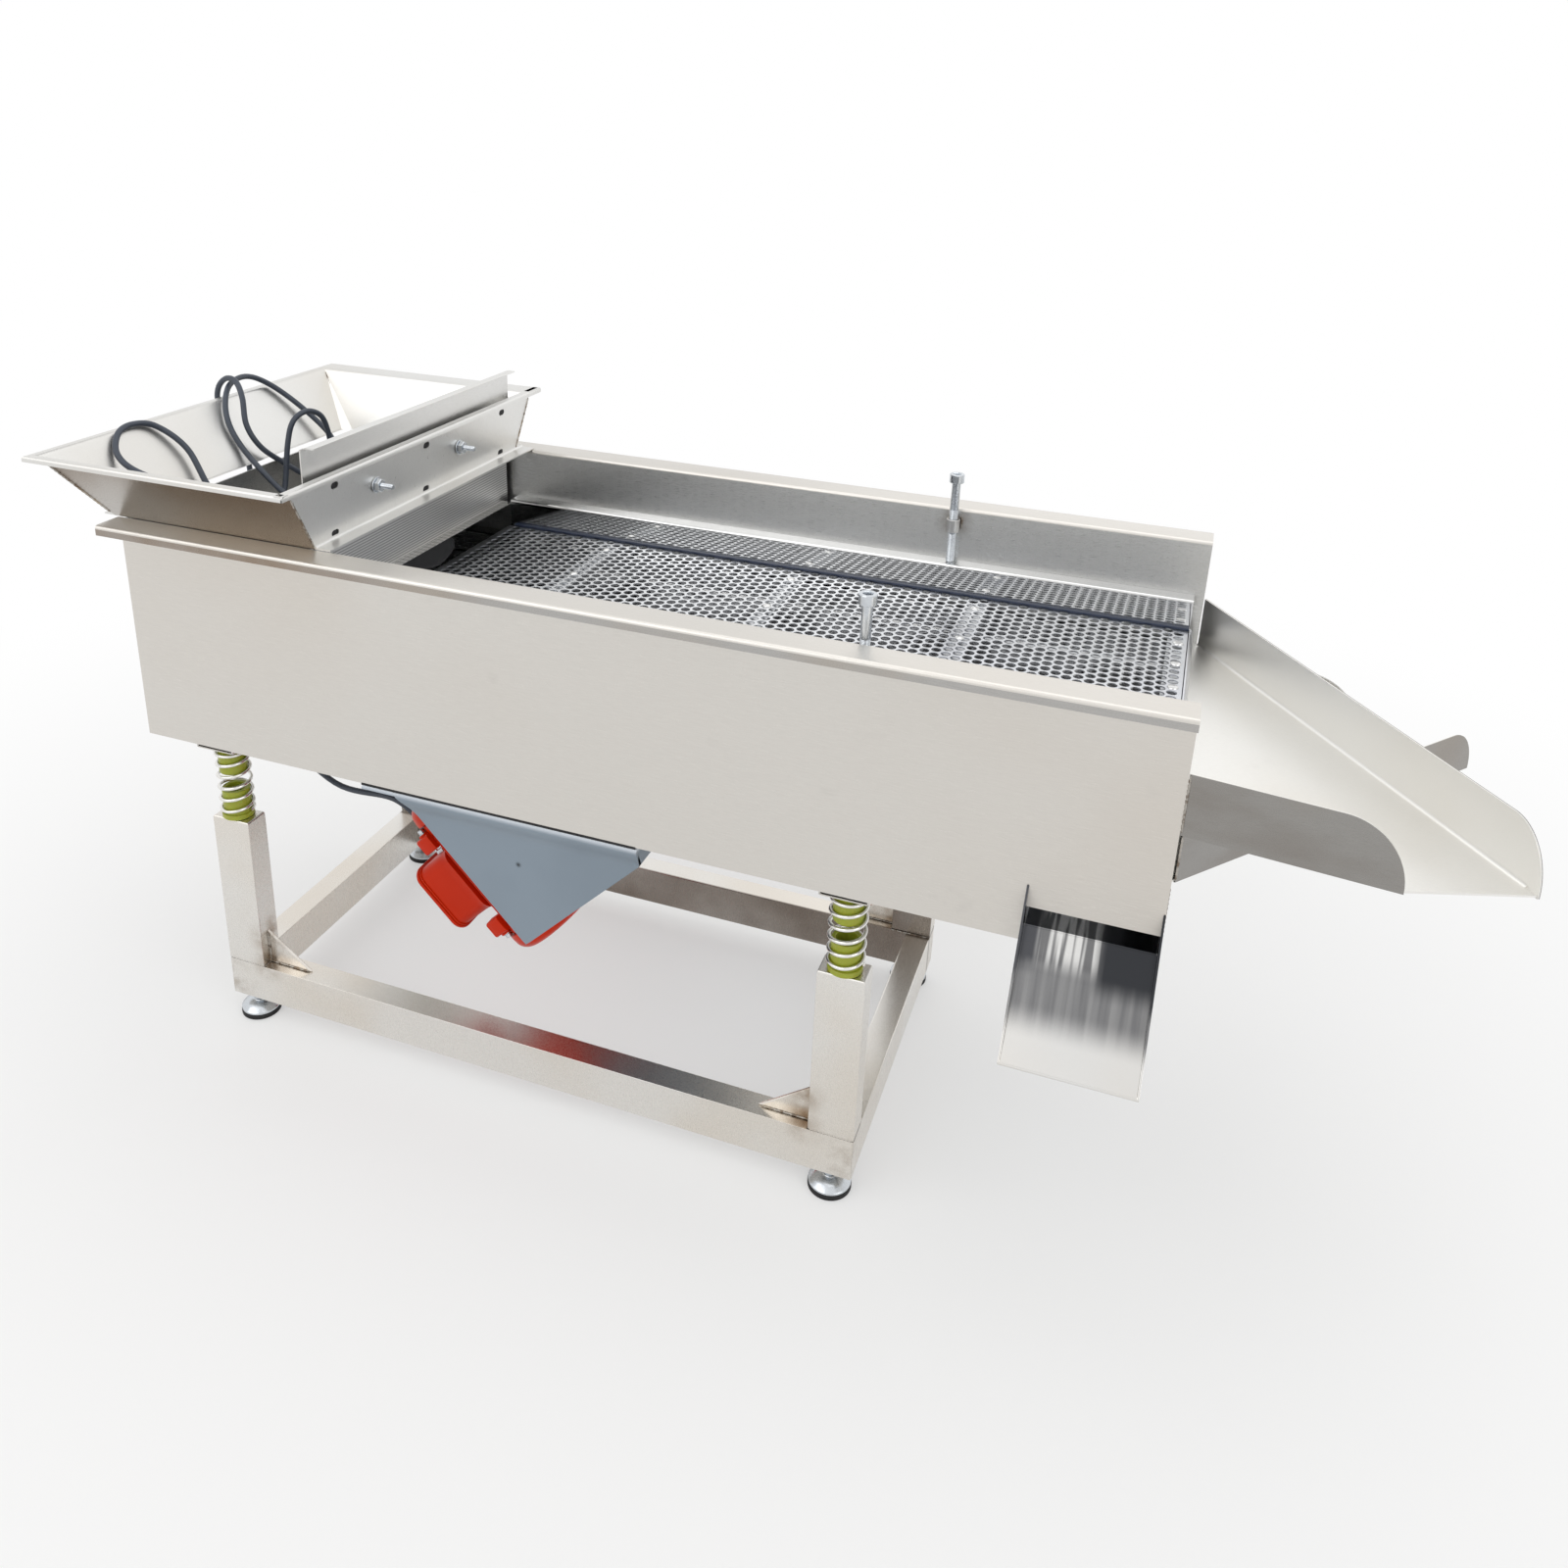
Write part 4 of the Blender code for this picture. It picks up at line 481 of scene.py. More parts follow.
TILT = math.radians(45)
ALONG = Vector((math.cos(TILT), 0, -math.sin(TILT)))
NORMAL = Vector((math.sin(TILT), 0, math.cos(TILT)))
MOTOR = Vector((0.4698, 0, 0.2642))
MOTOR_SPREAD = 0.112
CORD_RADIUS = 0.0035
FRONT_MOTOR = MOTOR - Vector((0, MOTOR_SPREAD, 0))
CORD_START = FRONT_MOTOR - ALONG * (0.089 / 2 + 0.014 + 0.0003) - NORMAL * 0.068
CORD_ROUTE = [CORD_START, CORD_START - ALONG * 0.02] + [Vector(spot) * MM for spot in (
    (326, -112, 298), (240, -107, 297), (140, -78, 334), (66, -40, 366), (50, 0, 470), (50, 20, 575),
    (35, 32, 656), (-1, 40, 690), (-9, 43, 710), (-5, 44, 727), (9, 43, 738), (27, 38, 736),
    (41, 30, 719), (52, 20, 688), (66, 26, 660), (82, 50, 634), (106, 74, 608), (140, 80, 591),
    (164, 66, 583), (168, 36, 582), (148, 12, 589), (114, 2, 614), (60, 2, 662), (32, 10, 698),
    (12, 40, 727), (7, 78, 733), (16, 110, 718), (44, 134, 686), (78, 146, 648), (95, 139, 618),
    (108, 120, 606), (117, 101, 614), (121, 92, 640), (119, 89, 672), (116, 81, 694), (110, 62, 703),
    (104, 43, 694), (101, 33, 668), (102, 20, 618), (108, 0, 597), (112, -30, 588), (108, -62, 600),
    (84, -84, 634), (48, -78, 682), (22, -94, 710), (14, -120, 718), (18, -148, 714), (34, -168, 696),
    (62, -166, 678), (108, -134, 654), (156, -90, 626), (186, -48, 604), (199, -14, 594), (203, 16, 592),
)]
RELIEF_LENGTH = 0.032


def smooth_path(route, steps):
    """Points along a Catmull-Rom curve through the route."""
    dense = []
    last = len(route) - 1
    for k in range(last):
        p0, p1, p2, p3 = (Vector(route[min(max(k + i, 0), last)]) for i in (-1, 0, 1, 2))
        for s in range(steps):
            t = s / steps
            dense.append(0.5 * (2 * p1 + (p2 - p0) * t + (2 * p0 - 5 * p1 + 4 * p2 - p3) * t * t
                                + (3 * p1 - p0 - 3 * p2 + p3) * t * t * t))
    dense.append(Vector(route[-1]))
    return dense


def sweep(path, radii, sides):
    """Rings of given radii along a path, with no twist between them."""
    rings = []
    side = None
    for k, point in enumerate(path):
        way = (path[min(k + 1, len(path) - 1)] - path[max(k - 1, 0)]).normalized()
        if side is None:
            side = way.orthogonal().normalized()
        side = (side - way * side.dot(way)).normalized()
        other = way.cross(side)
        rings.append([point + side * radii[k] * math.cos(math.tau * i / sides)
                      + other * radii[k] * math.sin(math.tau * i / sides) for i in range(sides)])
    return rings


def make_cord():
    dense = smooth_path(CORD_ROUTE, 9)
    curve = bpy.data.curves.new("power_cord_line", "CURVE")
    curve.dimensions = "3D"
    curve.bevel_depth = CORD_RADIUS
    curve.bevel_resolution = 4
    curve.use_fill_caps = True
    spline = curve.splines.new("POLY")
    spline.points.add(len(dense) - 1)
    for slot, point in zip(spline.points, dense):
        slot.co = (*(point + ORIGIN), 1)
    spline.use_smooth = True
    curve.materials.append(LOOKS["cord_rubber"].made)
    line = link(bpy.data.objects.new("power_cord_line", curve))
    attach(line, "trough")
    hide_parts("power_cord")

    path = [CORD_START + ALONG * 0.003]
    radii = [0.0066]
    gone = 0
    for a, b in zip(dense, dense[1:]):
        for i in range(3):
            s = gone + (b - a).length * i / 3
            if s <= RELIEF_LENGTH:
                rib = 0.0006 if int(s / 0.0022) % 2 else 0
                path.append(a.lerp(b, i / 3))
                radii.append(0.0066 - 0.0024 * s / RELIEF_LENGTH + rib)
        gone += (b - a).length
    relief = Shape().rings(sweep(path, radii, 20)).make("power_cord_relief", "cord_rubber")

    way = (dense[-1] - dense[-3]).normalized()
    plug = Shape(Matrix.Translation(dense[-1]) @ way.to_track_quat("Z", "Y").to_matrix().to_4x4())
    profile = [(4.6, -8), (5, 0)]
    for k in range(4):
        profile += [(radius + 0.5 * k, height + 3 * k) for radius, height in ((5.6, 2), (5.6, 3.6), (5, 4), (5, 4.6))]
    profile += [(9.5, 17.5), (11.4, 21.5), (11.8, 27), (11.2, 35), (11.8, 43), (11.4, 44.6), (10.2, 45.3)]
    plug.turned(profile, 32)
    plug.kind = 1
    for x in (-0.0063, 0.0063):
        plug.box((x - 0.0008, -0.0031, 0.043), (x + 0.0008, 0.0031, 0.061))
    plug.turned([(2.3, 43), (2.3, 59), (1.6, 61.2)], 16, (0, 0.0078, 0))
    plug = plug.make("power_plug_body", "cord_rubber", ["cord_rubber", "zinc"], bevel=0.0003,
                     node="power_plug")


make_cord()


# Stage, lamps and view

FLOOR_REACH, FLOOR_DROP = 14, 0.0005
AIM = Vector((0, 0, 0.4))
LAMPS = (("key", (-1.6, -2.2, 2.6), 3.2, 22), ("fill", (2.4, -1.4, 1.6), 2, 11),
         ("top", (0.2, 0.3, 3.2), 2.6, 12), ("rim", (0.4, 2.6, 1.8), 2.4, 2.5))


def seen_directly(tree):
    """1 for what the camera, a reflection or a clear body sees, 0 for plain light."""
    rays = add_node(tree, "ShaderNodeLightPath").outputs
    seen = rays["Is Camera Ray"]
    for name in ("Is Glossy Ray", "Is Transmission Ray"):
        seen = add_node(tree, "ShaderNodeMath", {0: seen, 1: rays[name]}, operation="MAXIMUM").outputs[0]
    return seen


def make_stage():
    scene = bpy.context.scene
    scene.view_settings.view_transform = "Standard"
    scene.world = bpy.data.worlds.new("studio")
    scene.world.use_nodes = True
    tree = scene.world.node_tree
    back = tree.nodes["Background"]
    back.inputs["Color"].default_value = (1, 1, 1, 1)
    strength = add_node(tree, "ShaderNodeMapRange", {"Value": seen_directly(tree)}, To_Min=0.84, To_Max=1)
    tree.links.new(strength.outputs["Result"], back.inputs["Strength"])

    mesh = bpy.data.meshes.new("floor")
    mesh.from_pydata([(x * FLOOR_REACH, y * FLOOR_REACH, -FLOOR_DROP) for x, y in ((-1, -1), (1, -1), (1, 1), (-1, 1))],
                     [], [(0, 1, 2, 3)])
    floor = link(bpy.data.objects.new("floor", mesh))
    ground = bpy.data.materials.new("ground")
    ground.use_nodes = True
    tree = ground.node_tree
    tree.nodes.clear()
    matte = add_node(tree, "ShaderNodeBsdfDiffuse", Color=(0.82, 0.82, 0.815, 1))
    glow = add_node(tree, "ShaderNodeEmission", Color=(1, 1, 1, 1))
    place = add_node(tree, "ShaderNodeTexCoord").outputs["Object"]
    away = add_node(tree, "ShaderNodeVectorMath", {0: place}, operation="LENGTH").outputs["Value"]
    lift = add_node(tree, "ShaderNodeMapRange", {"Value": away}, interpolation_type="SMOOTHSTEP", From_Min=0.6,
                    From_Max=1.9, To_Min=0.42, To_Max=1).outputs["Result"]
    share = add_node(tree, "ShaderNodeMath", {0: seen_directly(tree), 1: lift}, operation="MULTIPLY").outputs[0]
    both = add_node(tree, "ShaderNodeMixShader", {"Fac": share, 1: matte.outputs[0], 2: glow.outputs[0]})
    add_node(tree, "ShaderNodeOutputMaterial", {"Surface": both.outputs[0]})
    floor.data.materials.append(ground)

    for name, place, size, power in LAMPS:
        data = bpy.data.lights.new(name, "AREA")
        data.shape = "DISK"
        data.size = size
        data.energy = power
        lamp = link(bpy.data.objects.new(name, data))
        lamp.location = place
        lamp.rotation_euler = (AIM - Vector(place)).to_track_quat("-Z", "Y").to_euler()


make_stage()


# CAD nodes that stay, with eased edges and their own finish

EDGES = {
    "rail": ("frame_steel", 0.0022, 3), "post": ("frame_steel", 0.002, 3), "floor_pan": ("inner_steel", 0.0005, 2),
    "spring_beam": ("panel_steel", 0.0015, 2), "feed_pan": ("feed_steel", 0.0005, 2),
    "seal": ("seal_rubber", 0.001, 3), "fines_chute": ("fines_steel", 0.0005, 2),
    "motor_mount": ("bracket_paint", 0.0008, 2),
}
for name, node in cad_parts.items():
    slot = node.data.materials[0].name.split(".")[0] if node.data.materials else ""
    look = LOOKS.get(slot, LOOKS["panel_steel"])
    for key, (edge_look, width, segments) in EDGES.items():
        if name.startswith(key) or name.endswith(key):
            look = LOOKS[edge_look]
            add_weld(node)
            add_bevel(node, width, segments)
            break
    node.data.materials.clear()
    node.data.materials.append(look.made)


def arc(centre_a, centre_b, radius, start, end, steps=5):
    """Points of an arc, as (a, b) pairs, between two angles in degrees."""
    angles = [math.radians(start + (end - start) * i / steps) for i in range(steps + 1)]
    return [(centre_a + radius * math.cos(angle), centre_b + radius * math.sin(angle)) for angle in angles]


def thread(radius, start, end, pitch, depth):
    """Profile of a screw thread, for turned()."""
    points = []
    count = round((end - start) / pitch)
    for k in range(count):
        low = start + (end - start) * k / count
        points += [(radius - depth, low), (radius, low + (end - start) / count / 2)]
    return points


# Springs: they stretch between the frame and the trough

SPRING_BOTTOM, SPRING_LENGTH, SPRING_RADIUS, SPRING_WIRE = 0.2854, 0.0823, 0.018, 0.004
SPRING_Y = 0.1832


def corners(left, right):
    return {f"{end}_{name}": (x, side * SPRING_Y) for end, side in SIDES
            for name, x in (("left", left), ("right", right))}


POSTS, FEET = corners(0.1594, 0.8982), corners(0.1604, 0.8972)


def spring_path(turns=6.3, end_turns=0.75, end_pitch=0.0043, steps=40):
    points = []
    rise = SPRING_LENGTH - SPRING_WIRE
    end_rise = end_turns * end_pitch
    total = round(turns * steps)
    for i in range(total + 1):
        turn = turns * i / total
        if turn < end_turns:
            height = turn * end_pitch
        elif turn > turns - end_turns:
            height = rise - (turns - turn) * end_pitch
        else:
            height = end_rise + (turn - end_turns) / (turns - 2 * end_turns) * (rise - 2 * end_rise)
        angle = math.tau * turn
        points.append(Vector((SPRING_RADIUS * math.cos(angle), SPRING_RADIUS * math.sin(angle),
                              SPRING_WIRE / 2 + height)))
    return points


PLUG = [(18, 0.4), (18, 5.4), (17.4, 6), (15.8, 6.2), (15.8, 35.2), (15.2, 36), (11.6, 36), (11, 35.4), (11, 3),
        (17.2, 0)]
for corner, (px, py) in POSTS.items():
    path = spring_path()
    coil = Shape(Matrix.Translation((px, py, SPRING_BOTTOM))).rings(sweep(path, [SPRING_WIRE / 2] * len(path), 12))
    coil = coil.make("coil_" + corner, "spring_steel", smooth=60, body=None)
    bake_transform(coil)
    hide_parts("spring_" + corner)
    for name, flip, base, body in (("lower_plug_", 1, 0.2791, "base_frame"), ("upper_plug_", -1, 0.374, "trough")):
        plug = Shape(Matrix.Translation((px, py, base)) @ Matrix.Diagonal((1, 1, flip, 1))).turned(PLUG, 40)
        plug.make(name + "turned_" + corner, "urethane", node=name + corner, body=body)


# Levelling feet

CUP = [(22.2, 6.3), (22.9, 7), (23, 9), (22.2, 9.8), (20.8, 10.6), (18.6, 12.6), (15, 14.6), (11, 15.9), (8.6, 16.4),
       (8, 16.8), (7.4, 17.4), (5, 17.6), (5, 21)]
LOCK_NUT = [(15, 19.9, 1), (17.3, 20.4, 1), (17.3, 27.6, 1), (15, 28.1, 1)]
PAD = [(22.4, 0), (23.4, 0.8), (23.5, 2.4), (22.9, 2.9), (23.5, 3.4), (23.5, 5.2), (22.8, 6), (21.5, 6.2)]
for corner, (px, py) in FEET.items():
    seat, body = Matrix.Translation((px, py, 0)), "foot_" + corner
    cup = Shape(seat).turned(CUP, 48).turned(LOCK_NUT, 36).turned([(5, 17.8)] + thread(5, 18.3, 48.3, 2, 0.45), 24)
    cup.make("cup_" + corner, "zinc", smooth=28, node=body, body=body)
    Shape(seat).turned(PAD, 48).make("pad_" + corner, "rubber", node="foot_pad_" + corner, body=body)


# Perforated decks

class Sheet:
    """Perforated plate: one hexagonal cell round every hole, the outer cells drawn out to straight edges."""

    def __init__(self, x0, x1, half, top, thick, hole, pitch, sides=12):
        self.verts = []
        self.faces = []
        self.index = {}
        self.box = (x0, x1, half)
        self.top = top
        self.thick = thick
        rows = round(2 * half / pitch)
        pitch = 2 * half / rows
        column = pitch * math.sin(math.pi / 3)
        reach = pitch / math.sqrt(3)
        columns = int((x1 - x0 - 2 * reach) / column) + 1
        start = (x0 + x1 - (columns - 1) * column) / 2
        self.limits = (start - 0.3 * reach, start + (columns - 1) * column + 0.3 * reach)
        step = math.tau / sides
        for c in range(columns):
            odd = c % 2
            for r in range(rows + odd):
                x = start + c * column
                y = -half + pitch * (r + (0 if odd else 0.5))
                edge = []
                for i in range(sides):
                    angle = i * step
                    off = (angle + math.pi / 6) % (math.pi / 3) - math.pi / 6
                    far = reach if abs(off) < 0.01 else pitch / 2 / math.cos(abs(off) - math.pi / 6)
                    edge.append(self.corner(x + far * math.cos(angle), y + far * math.sin(angle)))
                if odd and r in (0, rows):
                    ring = [p for i, p in enumerate(edge) if p != edge[i - 1]]
                    if len(set(ring)) > 2:
                        self.plate(list(dict.fromkeys(ring)))
                    continue
                rim = [self.fresh(x + hole * math.cos(i * step), y + hole * math.sin(i * step)) for i in range(sides)]
                for i in range(sides):
                    j = (i + 1) % sides
                    ring = [edge[i], edge[j], rim[j], rim[i]]
                    if edge[i] == edge[j]:
                        ring = [edge[i], rim[j], rim[i]]
                    self.plate(ring)
                    self.faces.append((rim[i], rim[j], rim[j] + 1, rim[i] + 1))

    def fresh(self, x, y):
        self.verts += [(x, y, self.top), (x, y, self.top - self.thick)]
        return len(self.verts) - 2

    def corner(self, x, y):
        x0, x1, half = self.box
        if x < self.limits[0]:
            x = x0
        if x > self.limits[1]:
            x = x1
        y = min(max(y, -half), half)
        key = (round(x, 5), round(y, 5))
        if key not in self.index:
            self.index[key] = self.fresh(*key)
        return self.index[key]

    def plate(self, ring):
        self.faces += [tuple(ring), tuple(i + 1 for i in reversed(ring))]

    def close(self):
        """Adds the outer walls, under the edges that belong to one top face only."""
        edges = {pair: 0 for face in self.faces for pair in zip(face, face[1:] + face[:1])}
        for a, b in edges:
            if a % 2 == 0 and b % 2 == 0 and (b, a) not in edges:
                self.faces.append((b, a, a + 1, b + 1))
        return self


PANEL_TOP = 0.6435
DECK_TOP = 0.546
LOWER_DECK_TOP = 0.498
DECK_END = 1.174
FIELD_END = 1.1712
HALF = 0.19
INNER = 0.2095
THIN = 0.0015


def fold_profile(edge, top, fold, radius=0.003):
    """Side of a tray for +Y: strip, upright wall and flange, with rounded folds, as one closed outline."""
    t = THIN
    small = radius - t
    outline = [(edge, top - t)]
    outline += arc(HALF - radius, top - t + radius, radius, -90, 0)
    outline += arc(HALF + small, fold - radius, small, 180, 90)
    outline += [(INNER, fold - t), (INNER, fold)]
    outline += arc(HALF - t + radius, fold - radius, radius, 90, 180)
    outline += arc(HALF - radius, top - t + radius, small, 0, -90)
    outline.append((edge, top))
    return outline


DECK_BARS, END_BAR = (0.478, 0.722, 0.942), 1.1625
SEAM = 0.00002


def make_deck(label, top, start, fold, hole, pitch, field_start, sheet_look):
    half, under = 0.1834, top - THIN
    sheet = Sheet(field_start, FIELD_END, half, top, THIN, hole, pitch).close()
    made = Shape().add(sheet.verts, sheet.faces)
    made.kind = 1
    for side in ENDS:
        made.prism([(side * y, z) for y, z in fold_profile(half + SEAM, top, fold)], "X", start, DECK_END)
    made.kind = 0
    for x0, x1 in ((start, field_start - SEAM), (FIELD_END + SEAM, DECK_END)):
        made.box((x0, -half, under), (x1, half, top))
    if label == "upper":
        lip = [(DECK_END - 0.001, under)] + arc(DECK_END, top - 0.003, 0.0015, 90, 16.2, 4)
        lip += [(DECK_END + 0.0046, top - 0.02), (DECK_END + 0.006, top - 0.02)]
        lip += arc(DECK_END, top - 0.003, 0.003, 16.2, 90, 4) + [(DECK_END - 0.001, top)]
        made.prism(lip, "Y", -HALF, HALF)
        # The bars take bar_steel, darker than the deck sheet: painted shade under the holes.
        made.kind = 2
        for x in (*DECK_BARS, END_BAR):
            made.box((x - 0.01, -HALF + 0.0005, top - 0.008), (x + 0.01, HALF - 0.0005, top - 0.0034))
        for y in (-0.0815, 0.0815):
            made.box((0.96, y - 0.004, top - 0.006), (1.15, y + 0.004, top - 0.004))
    made.make("deck_" + label, "deck_steel", [sheet_look, "polished_steel", "bar_steel"], smooth=30,
              node=label + "_deck")


make_deck("upper", DECK_TOP, 0.322, 0.58, 0.0054, 0.0131, 0.3276, "deck_steel")
# The lower deck takes lower_deck_steel, darker than the upper deck: painted shade.
make_deck("lower", LOWER_DECK_TOP, 0.075, 0.528, 0.0038, 0.0125, 0.085, "lower_deck_steel")


# Clamp screws

CLAMP_X, CLAMP_Y = 0.9, 0.2
for name, side in SIDES:
    profile = [(4, 0), (4.6, 0.6)]
    for k in range(50):
        profile += [(5, 1.6 + 1.25 * k), (4.6, 2.2 + 1.25 * k)]
    profile += [(5, 65), (5, 97), (8.2, 97), (8.5, 97.4), (8.5, 106.2), (7.8, 107), (9.6, 107, 1), (9.2, 106.6, 1),
                (9.2, 102, 1)]
    screw = Shape(Matrix.Translation((CLAMP_X, side * CLAMP_Y, 0.5803))).turned(profile, 36)
    screw.make("clamp_bolt_" + name, "zinc", smooth=30, node="clamp_screw_" + name, body="clamp_" + name)


# Side panels: folded sheet with a turned-out flange and lip, and the sleeve for the clamp screw

def panel_outline(side, bottom):
    inner, outer, out, top, t, r = 0.2098, 0.2118, 0.2465, PANEL_TOP, 0.002, 0.004
    points = [(outer, bottom)]
    points += arc(outer + r - t, top - r, r - t, 180, 90)
    points += arc(out - r, top - r, r - t, 90, 0)
    points += [(out - t, top - 0.011), (out, top - 0.011)]
    points += arc(out - r, top - r, r, 0, 90)
    points += arc(inner + r, top - r, r, 90, 180)
    points.append((inner, bottom))
    return [(side * y, z) for y, z in points]


PANEL_START, SLOT_START, PANEL_END = 0.07, 1.0655, 1.1845
PANEL_LOW, SLOT_TOP = 0.38, 0.4163
PANEL_RUNS = {-1: ((PANEL_LOW, PANEL_START, SLOT_START), (SLOT_TOP, SLOT_START, PANEL_END)),
              1: ((PANEL_LOW, PANEL_START, PANEL_END),)}
SLEEVE = [(8, 618.1), (8, 632.5), (7.5, 633), (5.8, 633), (5.4, 632.6), (5.4, 618), (7.5, 618)]
for name, side in SIDES:
    panel = Shape()
    for bottom, x0, x1 in PANEL_RUNS[side]:
        panel.prism(panel_outline(side, bottom), "X", x0, x1)
    # The lip's outer faces take lip_steel, darker than the rest of the same sheet: painted shade.
    for face, points in enumerate(panel.faces):
        spots = [panel.verts[i] for i in points]
        if all(abs(p.y) > 0.244 and p.z < PANEL_TOP - 0.003 for p in spots):
            panel.kinds[face] = 1
        elif all(abs(p.y) < 0.2099 for p in spots):
            panel.kinds[face] = 2
    panel.kind = 2
    panel.turned(SLEEVE, 32, (CLAMP_X, side * CLAMP_Y, 0), closed=True)
    near, far = side * 0.2064, side * 0.2103
    panel.prism([(0.8955, near), (0.9045, near), (0.9075, far), (0.8925, far)][::side], "Z", 0.6187, 0.6322)
    panel.make("panel_folded_" + name, "panel_steel", ["panel_steel", "lip_steel", "inner_steel"],
               smooth=30, node=name + "_panel")
    lines = [(x, 0.2093, 0.6188, 0.6321, 0.0016) for x in (0.8918, 0.9082)]
    if side < 0:
        lines += [(x, 0.2122, 0.3815, 0.438, 0.0011) for x in (1.0665, 1.1835)]
    welds = Shape()
    for x, y, low, high, radius in lines + [(1.1838, 0.209, 0.4, 0.4665, 0.0014)]:
        welds.bead([(x, side * y, low), (x, side * y, high)], radius)
    welds.make("welds_panel_" + name, "panel_steel", ["weld_bead"], smooth=60)


# Hopper: rim and three walls in one sheet, the right wall with its oval holes, and the foot flanges

RIM, LIP_END, SKIN = 0.715, 0.709, 0.0015
WALL_TOP, HOPPER_LOW = 0.71425, 0.6438
RIM_END, RIM_HALF = 0.3299, 0.2625
LEAN = {"left": (0.01, 0.064), "right": (0.3295, 0.3245), "front": (0.2525, 0.212), "back": (0.2325, 0.199)}


def wall(side, z, inset=0.0):
    """Outer face of a leaning wall at a height, moved inward by the inset."""
    top, low = LEAN[side]
    place = top + (low - top) * (WALL_TOP - z) / (WALL_TOP - HOPPER_LOW)
    return place + inset if side == "left" else place - inset


def hopper_stations():
    """The sheet's outline at four stations: front wall's right end, two left corners, back wall's right end."""
    r, under = 0.003, RIM - SKIN
    # Each point is (inset of the wall, or None on the rim, offset, height)
    rim = [(0, LIP_END), (0, RIM - r)] + [(r - dx, RIM - r + dz) for dx, dz in arc(0, 0, r, 15, 90, 5)]
    outline = [(None, offset, z) for offset, z in rim]
    outline += [(SKIN, 0.003 * (1 - k / 5) ** 2, RIM - 0.0032 * (k / 5) ** 2) for k in range(6)]
    outline += [(SKIN, 0, HOPPER_LOW), (0, 0, HOPPER_LOW), (0, 0, under - 0.0016), (0, 0.0009, under - 0.0004),
                (0, 0.002, under), (None, r, under), (None, SKIN + 0.0004, under - 0.0004), (None, SKIN, RIM - r),
                (None, SKIN, LIP_END)]
    stations = []
    for (name, side), right in ((SIDES[0], True), (SIDES[0], False), (SIDES[1], False), (SIDES[1], True)):
        ring = []
        for inset, offset, z in outline:
            on_rim = inset is None
            y = RIM_HALF - offset if on_rim else wall(name, z, inset) + offset
            if right:
                x = RIM_END if on_rim or z > RIM - 0.0009 else wall("right", z, 0.0008)
            else:
                x = offset if on_rim else wall("left", z, inset) - offset
            ring.append((x, side * y, z))
        stations.append(ring)
    return stations


shell = Shape().rings(hopper_stations())
# The front wall's outer faces take hopper_front_steel, darker than the rest of the sheet: painted shade.
for face, points in enumerate(shell.faces):
    spots = [shell.verts[i] for i in points]
    middle = sum(spots, Vector()) / len(spots)
    if len(points) == 4 and middle.z < RIM - SKIN and all(wall("front", p.z, 0.0004) < -p.y < 0.256 for p in spots):
        shell.kinds[face] = 1
r = 0.003
under, corner_x = RIM - SKIN, 0.33 - r
strip = [(0.33, LIP_END)] + arc(corner_x, RIM - r, r, 0, 90) + [(0.3204, RIM), (0.32, RIM - 0.0007), (0.3204, under)]
strip += [(corner_x, under), (0.3289, under - 0.0004), (0.3285, RIM - r), (0.3285, LIP_END)]
shell.prism(strip, "Y", -RIM_HALF, RIM_HALF)
foot = [(0.323, HOPPER_LOW), (0.3425, HOPPER_LOW), (0.3425, HOPPER_LOW + SKIN)]
for k in range(6):
    z = HOPPER_LOW + SKIN + 0.004 * (k / 5) ** 2
    foot.append((wall("right", z) + 0.004 * (1 - k / 5) ** 2, z))
shell.prism(foot + [(0.324, HOPPER_LOW + SKIN + 0.004)], "Y", -0.212, 0.217)
shell.box((0.05, -0.212, HOPPER_LOW), (0.0646, 0.217, HOPPER_LOW + SKIN))
shell.box((0.064, 0.1983, HOPPER_LOW), (0.3245, 0.217, HOPPER_LOW + SKIN))
# Small facet in the back left corner
z = RIM - 0.004
facet = [(wall("left", z, SKIN), wall("back", z, SKIN), z)]
z = HOPPER_LOW + 0.0004
x, y = wall("left", z, SKIN), wall("back", z, SKIN)
facet += [(x, y - 0.0095, z), (x + 0.0095, y, z), (x - 0.0006, y + 0.0006, z)]
shell.add(facet, [(0, 1, 2), (0, 3, 1), (0, 2, 3), (1, 3, 2)])
shell.make("hopper_sheet", "hopper_steel", ["hopper_steel", "hopper_front_steel"], smooth=28, node="hopper")

HOLES = [(y, z) for z in (0.7038, 0.6516) for y in (-0.179, -0.009, 0.161)]
STUDS = {"front": (-0.107, 0.684), "back": (0.061, 0.684)}
face = Shape()
face.rings([[(wall("right", z, inset), sign * wall(end, z), z) for z, inset in
             ((HOPPER_LOW, 0), (RIM - SKIN, 0), (RIM - SKIN, SKIN), (HOPPER_LOW, SKIN))] for end, sign in SIDES])
cuts = [Shape().prism(rounded(0.006, 0.0035, 0.0034, 6, spot), "X", 0.316, 0.338) for spot in HOLES]
cuts += [Shape().prism(rounded(0.0034, 0.0034, 0.00339, 6, spot), "X", 0.316, 0.338) for spot in STUDS.values()]
face.make("hopper_gate_wall", "hopper_steel", smooth=28, cuts=cuts, node="hopper")
# Dark rubber pieces set in the oval holes, just inside the wall: painted shade seen through the holes.
hole_shades = Shape()
for y, z in HOLES:
    skin = wall("right", z)
    hole_shades.rings([[(skin - depth, a, b) for a, b in rounded(0.0059 - inset, 0.0034 - inset, 0.0033 - inset, 6, (y, z))]
                 for inset, depth in ((0, 0.0034), (0, 0.0012), (0.0009, 0.0008), (0.0022, 0.0007))])
hole_shades.make("hopper_hole_plugs", "rubber")

